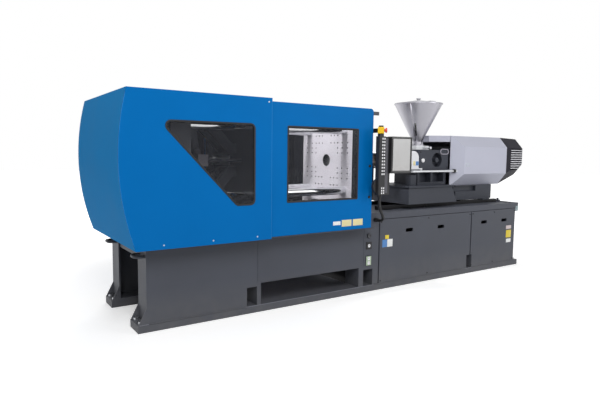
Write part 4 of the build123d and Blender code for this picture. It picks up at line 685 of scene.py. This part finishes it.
# Nearly opaque dark pane at the rear: painted shade for the mould space behind it.
shade_pane = clear_sheet("shade_pane", (0.012, 0.013, 0.016), 0.12, 0.93)
dress(shade_pane, "rear_gate_window")
gasket_rubber = rough_skin("gasket_rubber", (0.012, 0.012, 0.013), 0.6, mottle=0.15, grain=1200.0)
gasket = [(-0.009, -0.0045), (0.004, -0.0045), (0.005, 0.0004), (0.0055, 0.0016), (0.004, 0.0028),
          (0.001, 0.0032), (-0.003, 0.0030), (-0.007, 0.0014), (-0.0095, -0.0012)]
cover_opening = rounded_line([(-2.052, 1.436), (-1.492, 0.860), (-1.348, 0.860), (-1.348, 1.436)],
                             radius=0.034)
gate_opening = rounded_line([(-1.056, 0.861), (-0.365, 0.861), (-0.365, 1.432), (-1.056, 1.432)],
                            radius=0.006, steps=3)
gate_face = 0.574
for name, opening, face, side, body in (
    ("clamp_window_gasket", cover_opening, cover_front, -1, "machine"),
    ("front_gate_gasket", gate_opening, -gate_face, -1, "front_gate"),
    ("rear_gate_gasket", gate_opening, gate_face, 1, "rear_gate"),
):
    place_piece(name, trim(name, opening, face, side, gasket), gasket_rubber, body)


# Gate plates
# Three small plain plates cut from thin sheet, one white and two pale yellow. They are glued in a row
# on the foot of the operator's gate.
def face_plates(name, spans, face, proud, sunk, rim):
    """Mesh of flat plates on a face of the operator's side, one per ((west, low), (east, high)). Each
    stands out of the plane y = face by proud and reaches into it by sunk."""
    return plates(name, [((west, face - proud, low), (east, face + sunk, high))
                         for (west, low), (east, high) in spans], rim)


plate_white = rough_skin("plate_white", (0.80, 0.81, 0.80), 0.3, mottle=0.02)
plate_yellow = rough_skin("plate_yellow", (0.74, 0.66, 0.36), 0.3, mottle=0.03)
plate_proud, plate_sunk, plate_rim = 0.0008, 0.0002, 0.0004
for name, finish, spans in (
    ("gate_plate_white", plate_white, [((-0.612, 0.652), (-0.536, 0.682))]),
    ("gate_plates_yellow", plate_yellow,
     [((-0.523, 0.636), (-0.420, 0.690)), ((-0.405, 0.636), (-0.298, 0.690))]),
):
    place_piece(name, face_plates(name, spans, -gate_face, plate_proud, plate_sunk, plate_rim), finish,
                "front_gate")


# Gate rails and handle
# Folded steel channels in dark enamel that the gates hang and slide on, and a moulded black grip
# on the edge of the operator's gate, held by two black-capped bolts.
dress(cast_enamel, "gate_rails")
moulded_black = rough_skin("moulded_black", (0.014, 0.014, 0.016), 0.5, mottle=0.15, grain=1400.0)
dress(moulded_black, "gate_handle")
bolt_cap = [(0.0120, -0.0004), (0.0120, 0.0030), (0.0100, 0.0048), (0.0004, 0.0052)]
bolt_x, bolt_z = -0.232, (0.869, 1.131)
gate_bolts = [turned("bolt", bolt_cap, (bolt_x, -gate_face, z), (0, -1, 0), ring=20) for z in bolt_z]
place_piece("gate_bolts", joined("gate_bolts", gate_bolts), moulded_black, "front_gate")


# Injection carriage
# A heavy casting in grey enamel that runs on two blackened rails: base, feed housing and drive frame.
# The deck has two oval grip holes closed by dark plugs.
carriage_enamel = rough_skin("carriage_enamel", (0.038, 0.042, 0.055), 0.45, mottle=0.1, grain=300.0,
                             relief=0.0003, shine=0.2)
dress(carriage_enamel, "unit_base", "feed_housing", "drive_frame", "injection_plate")
dress(blackened_steel, "unit_rails")
dress(turned_steel, "guard_rails", "screw", "hopper_slide")
deck_top = 0.706
grip_x, grip_half, grip_front, grip_back = (0.326, 0.559), 0.055, -0.262, -0.228
deck_plugs = plates("deck_plugs", [
    ((x - grip_half, grip_front, deck_top - 0.0006), (x + grip_half, grip_back, deck_top + 0.0012))
    for x in grip_x], rim=0.017, steps=3)
place_piece("deck_plugs", deck_plugs, shade_and_plug_black, "machine")


# Feed housing
# Socket screws and a white plug over the water port sit on both flanks of the casting. A loop of grey
# rubber cooling hose is clipped to the flank at the operator's side.
feed_face = 0.190
feed_screws = [
    turned("screw", button_head, (x, side * feed_face, z), (0, side, 0), ring=14)
    for side in (-1, 1) for x in (0.800, 1.206) for z in (1.100, 1.256)
]
place_piece("feed_screws", joined("feed_screws", feed_screws), blackened_steel, "carriage")
white_nylon = rough_skin("white_nylon", (0.78, 0.78, 0.80), 0.4, mottle=0.04, grain=1300.0)
port_plug = [(0.0200, -0.0005), (0.0215, 0.0030), (0.0215, 0.0080), (0.0190, 0.0120), (0.0110, 0.0145),
             (0.0004, 0.0150)]
port_x, port_z = 0.831, 1.171
port_plugs = [turned("plug", port_plug, (port_x, side * feed_face, port_z), (0, side, 0)) for side in (-1, 1)]
place_piece("port_plugs", joined("port_plugs", port_plugs), white_nylon, "carriage")
hose_grey = rough_skin("hose_grey", (0.30, 0.29, 0.34), 0.45, mottle=0.06, grain=1100.0)
hose_line = rounded_line([(1.090, 1.238), (1.211, 1.238), (1.211, 1.288), (1.090, 1.288)],
                         radius=0.0245, steps=6)
hose_radius, hose_clear = 0.006, 0.0055
hose_loop = trim("hose_loop", hose_line, -feed_face - hose_clear, -1, round_section(hose_radius, 8))
place_piece("hose_loop", hose_loop, hose_grey, "carriage")


# Barrel and guard
# Nitrided steel that heat has browned, under mica heater bands and a white sheet guard. The guard has
# one plain yellow and one plain blue plate at the operator's side.
heat_tint = machined("heat_tint", (0.22, 0.19, 0.17), 0.4, lines=700.0, axis=0, mottle=0.25)
dress(heat_tint, "barrel")
guard_white = rough_skin("guard_white", (0.74, 0.75, 0.78), 0.42, mottle=0.03, coat=0.05)
dress(guard_white, "barrel_guard")
plate_blue = rough_skin("plate_blue", (0.08, 0.22, 0.50), 0.3, mottle=0.03)
guard_face = -0.205
for name, finish, spans in (
    ("guard_plate_yellow", plate_yellow, [((0.679, 1.122), (0.711, 1.166))]),
    ("guard_plate_blue", plate_blue, [((0.716, 1.122), (0.757, 1.163))]),
):
    place_piece(name, face_plates(name, spans, guard_face, plate_proud, plate_sunk, plate_rim), finish,
                "barrel_guard")
stop_x, rail_y, rail_z = 1.234, 0.250, 1.062
stop_ring = [(0.0192, 0.0), (0.0200, 0.002), (0.0200, 0.024), (0.0192, 0.026), (0.0132, 0.026), (0.0132, 0.0)]
stop_rings = [
    turned("ring", stop_ring, (stop_x, side * rail_y, rail_z), (1, 0, 0), looped=True) for side in (-1, 1)
]
place_piece("rail_stop_rings", joined("rail_stop_rings", stop_rings), gasket_rubber,
            "carriage")


# Drive cover
# A shell in silver metallic paint over motor and gearing, with a turn latch at each side. Its dark rear
# cap lets the air out between pale blades.
drive_silver = rough_skin("drive_silver", (0.47, 0.48, 0.57), 0.46, metallic=0.15, mottle=0.03, grain=700.0,
                          coat=0.08)
dress(drive_silver, "drive_cover")
tail_grey = rough_skin("tail_grey", (0.022, 0.021, 0.028), 0.55, mottle=0.06, grain=900.0, shine=0.05)
dress(tail_grey, "drive_tail")
drive_face, latch_x, latch_z = 0.300, 1.407, 1.126
for name, half_length, half_height, proud, rim, finish in (
    ("latch_frames", 0.035, 0.018, 0.0016, 0.009, zinc_plate),
    ("latch_paddles", 0.027, 0.012, 0.0034, 0.007, drive_silver),
):
    latches = plates(name, [
        ((latch_x - half_length, face - proud, latch_z - half_height),
         (latch_x + half_length, face + proud, latch_z + half_height))
        for face in (-drive_face, drive_face)], rim, steps=3)
    place_piece(name, latches, finish, "carriage")
blade_count, blade_low, blade_pitch, blade_lean = 9, 1.0848, 0.02556, 0.115
blade_front, blade_rear = 2.180, 2.442
blade_section = [(-0.002, -0.0058), (0.0018, -0.0052), (0.0034, 0.0), (0.0018, 0.0052), (-0.002, 0.0058)]
cap_front, cap_rear = (2.080, 0.300, 1.0300), (2.445, 0.258, 1.129)


def cap_path(side, z):
    """Line at a height along the cap's side. The side leans from the front station to the rear one, and
    below its lower edge the lower facet goes in by 0.8 of the depth under that edge."""
    x = np.linspace(blade_front, blade_rear, 9)
    share = (x - cap_front[0]) / (cap_rear[0] - cap_front[0])
    half = cap_front[1] + share * (cap_rear[1] - cap_front[1])
    edge = cap_front[2] + share * (cap_rear[2] - cap_front[2])
    return np.stack((x, side * (half - 0.8 * np.maximum(edge - z, 0.0)), np.full_like(x, z)), axis=-1)


blades = [
    carried("blade", cap_path(side, blade_low + blade_pitch * number), (blade_lean, side, 0.0), blade_section)
    for side in (-1, 1) for number in range(blade_count)
]
blade_white = rough_skin("blade_white", (0.62, 0.62, 0.66), 0.4, mottle=0.04)
place_piece("cap_blades", joined("cap_blades", blades), blade_white, "carriage")


# Hopper
# Rolled stainless sheet, satin brushed round the cone and joined by a lapped seam, with a dark sight
# glass beside the seam and a spun lid. Socket screws hold its flange.
dress(brushed_sheet, "hopper")
lid_sheet = machined("lid_sheet", (0.42, 0.42, 0.45), 0.45, lines=500.0, axis=0, depth=0.00002,
                     metallic=0.6)
dress(lid_sheet, "hopper_lid")
hopper_axis = np.array((0.947, 0.0))
cone_foot, cone_rim = (0.050, 1.365), (0.2425, 1.750)
cone_lean = (cone_rim[0] - cone_foot[0]) / (cone_rim[1] - cone_foot[1])


def cone_strip(name, azimuth, low, high, section):
    """A section carried straight up the cone at an azimuth in degrees from the height low to high, with
    its outward side square to the sheet."""
    way = np.array((math.cos(math.radians(azimuth)), math.sin(math.radians(azimuth))))
    path = [
        (*(hopper_axis + way * (cone_foot[0] + cone_lean * (z - cone_foot[1]))), z) for z in (low, high)
    ]
    return carried(name, path, (way[0], way[1], -cone_lean), section)


lap = [(-0.001, -0.009), (0.0012, -0.008), (0.0012, 0.008), (-0.001, 0.009)]
seam = cone_strip("hopper_seam", azimuth=203.0, low=1.372, high=1.747, section=lap)
place_piece("hopper_seam", seam, brushed_sheet, "hopper")
glass = [(-0.001, -0.0095), (0.0016, -0.0085), (0.0016, 0.0085), (-0.001, 0.0095)]
sight = cone_strip("hopper_sight", azimuth=213.0, low=1.425, high=1.552, section=glass)
sight_black = rough_skin("sight_black", (0.008, 0.008, 0.010), 0.12, mottle=0.1, coat=0.6)
place_piece("hopper_sight", sight, sight_black, "hopper")
flange_top, flange_circle, flange_start = 1.335, 0.065, 0.3
flange_screws = [
    turned("screw", button_head, (hopper_axis[0] + flange_circle * math.cos(a), flange_circle * math.sin(a),
                                  flange_top), (0, 0, 1), ring=12)
    for a in np.linspace(0, 2 * math.pi, 6, endpoint=False) + flange_start
]
place_piece("flange_screws", joined("flange_screws", flange_screws), blackened_steel, "hopper")


# Console
# A swivelling panel of black moulded plastic on a steel post: white keys left, screen right in a glossy
# frame, and a yellow box with the red stop button on its corner.
dress(moulded_black, "console_post", "console_housing")
console_face = -0.690
# The screen is painted darker towards its foot as painted shade.
screen_face = dust_and_shade(rough_skin("screen_face", (0.53, 0.53, 0.53), 0.25, mottle=0.01, coat=0.2),
                        foot_colour=(0.36, 0.33, 0.31), low=1.08, high=1.34)
dress(screen_face, "display")
frame_gloss = rough_skin("frame_gloss", (0.008, 0.008, 0.009), 0.15, mottle=0.1, coat=0.5)
screen_line = rounded_line([(-0.081, 1.092), (0.125, 1.092), (0.125, 1.364), (-0.081, 1.364)],
                           radius=0.004, steps=3)
bezel = [(-0.001, -0.001), (0.016, -0.001), (0.016, 0.0008), (0.013, 0.0018), (0.002, 0.0018), (-0.001, 0.0004)]
place_piece("screen_bezel", trim("screen_bezel", screen_line, console_face, -1, bezel), frame_gloss,
            "console")
key_columns, key_half_width, key_half_height = (-0.199, -0.178), 0.0065, 0.0070
key_rows = [1.358 - 0.0265 * row for row in range(12)] + [0.950 - 0.021 * row for row in range(3)]
keys = face_plates("keys", [
    ((x - key_half_width, z - key_half_height), (x + key_half_width, z + key_half_height))
    for x in key_columns for z in key_rows], console_face, proud=0.0014, sunk=0.0006, rim=0.0018)
place_piece("console_keys", keys, white_nylon, "console")
middle_grey = rough_skin("middle_grey", (0.075, 0.074, 0.088), 0.4, mottle=0.05)
middle_face = -0.665
strip = face_plates("console_strip", [((-0.158, 0.905), (-0.112, 1.362))], middle_face,
                    proud=0.0012, sunk=0.0008, rim=0.003)
place_piece("console_strip", strip, middle_grey, "console")
stop_yellow = rough_skin("stop_yellow", (0.80, 0.50, 0.01), 0.4, mottle=0.04)
dress(stop_yellow, "stop_box")
stop_red = rough_skin("stop_red", (0.62, 0.03, 0.015), 0.3, mottle=0.04, coat=0.3)
dress(stop_red, "stop_button")


# Service outlets
# Moulded boxes on the column beside the mould: a round one with a cap, a single one with a white
# insert and a twin one on a pale green plate.
dress(moulded_black, "service_outlets")
outlet_x, outlet_face, outlet_heights = -0.098, -0.442, (0.262, 0.303, 0.418)
outlet_proud, outlet_half = 0.0012, 0.029
outlet_green = rough_skin("outlet_green", (0.40, 0.50, 0.36), 0.4, mottle=0.05)
outlet_plate = face_plates("outlet_plate", [((outlet_x - outlet_half, 0.241), (outlet_x + outlet_half, 0.323))],
                           outlet_face, outlet_proud, sunk=0.0006, rim=0.003)
place_piece("outlet_plate", outlet_plate, outlet_green, "machine")
outlet_front = outlet_face - outlet_proud
socket = [(0.0150, -0.0004), (0.0160, 0.0010), (0.0150, 0.0024), (0.0125, 0.0024), (0.0115, 0.0008),
          (0.0005, 0.0008)]
sockets = [turned("socket", socket, (outlet_x, outlet_front, z), (0, -1, 0)) for z in outlet_heights]
place_piece("outlet_sockets", joined("outlet_sockets", sockets), white_nylon, "machine")
pin, pin_shift = [(0.0020, 0.0), (0.0020, 0.0011)], 0.005
outlet_pins = [
    turned("pin", pin, (outlet_x + shift, outlet_front, z), (0, -1, 0), ring=8)
    for z in outlet_heights for shift in (-pin_shift, pin_shift)
]
place_piece("outlet_pins", joined("outlet_pins", outlet_pins), gasket_rubber, "machine")
cap_ring = [(0.0205, -0.0010), (0.0215, 0.0010), (0.0215, 0.0026), (0.0195, 0.0034), (0.0165, 0.0034),
            (0.0160, 0.0020)]
cap_face, cap_z = -0.444, 0.506
outlet_cap = turned("outlet_cap_ring", cap_ring, (outlet_x, cap_face, cap_z), (0, -1, 0), ring=32)
place_piece("outlet_cap_ring", outlet_cap, cabinet_enamel, "machine")


# Bed plates
# Plain enamelled plates in yellow, blue, white and rose, glued on the operator's side of the bed, and
# a pale plastic cap that closes the end of the deck.
bed_face, enamel_sunk, enamel_rim = -0.438, 0.0004, 0.0005
plate_deep_yellow = rough_skin("plate_deep_yellow", (0.72, 0.56, 0.04), 0.3, mottle=0.03)
plate_rose = rough_skin("plate_rose", (0.62, 0.52, 0.52), 0.3, mottle=0.03)
for name, finish, spans in (
    ("bed_plates_yellow", plate_deep_yellow,
     [((0.100, 0.460), (0.146, 0.496)), ((1.930, 0.322), (2.022, 0.405))]),
    ("bed_plate_blue", plate_blue, [((0.066, 0.386), (0.124, 0.456))]),
    ("bed_plates_white", plate_white,
     [((0.127, 0.386), (0.194, 0.456)), ((1.938, 0.267), (2.022, 0.308))]),
    ("bed_plate_rose", plate_rose, [((1.926, 0.418), (2.020, 0.457))]),
):
    place_piece(name, face_plates(name, spans, bed_face, plate_proud, enamel_sunk, enamel_rim), finish,
                "machine")
cap_teal = rough_skin("cap_teal", (0.27, 0.34, 0.36), 0.4, mottle=0.05)
end_cap = face_plates("deck_end_cap", [((2.086, 0.614), (2.136, 0.668))], bed_face,
                      proud=0.0012, sunk=0.001, rim=0.003)
place_piece("deck_end_cap", end_cap, cap_teal, "machine")
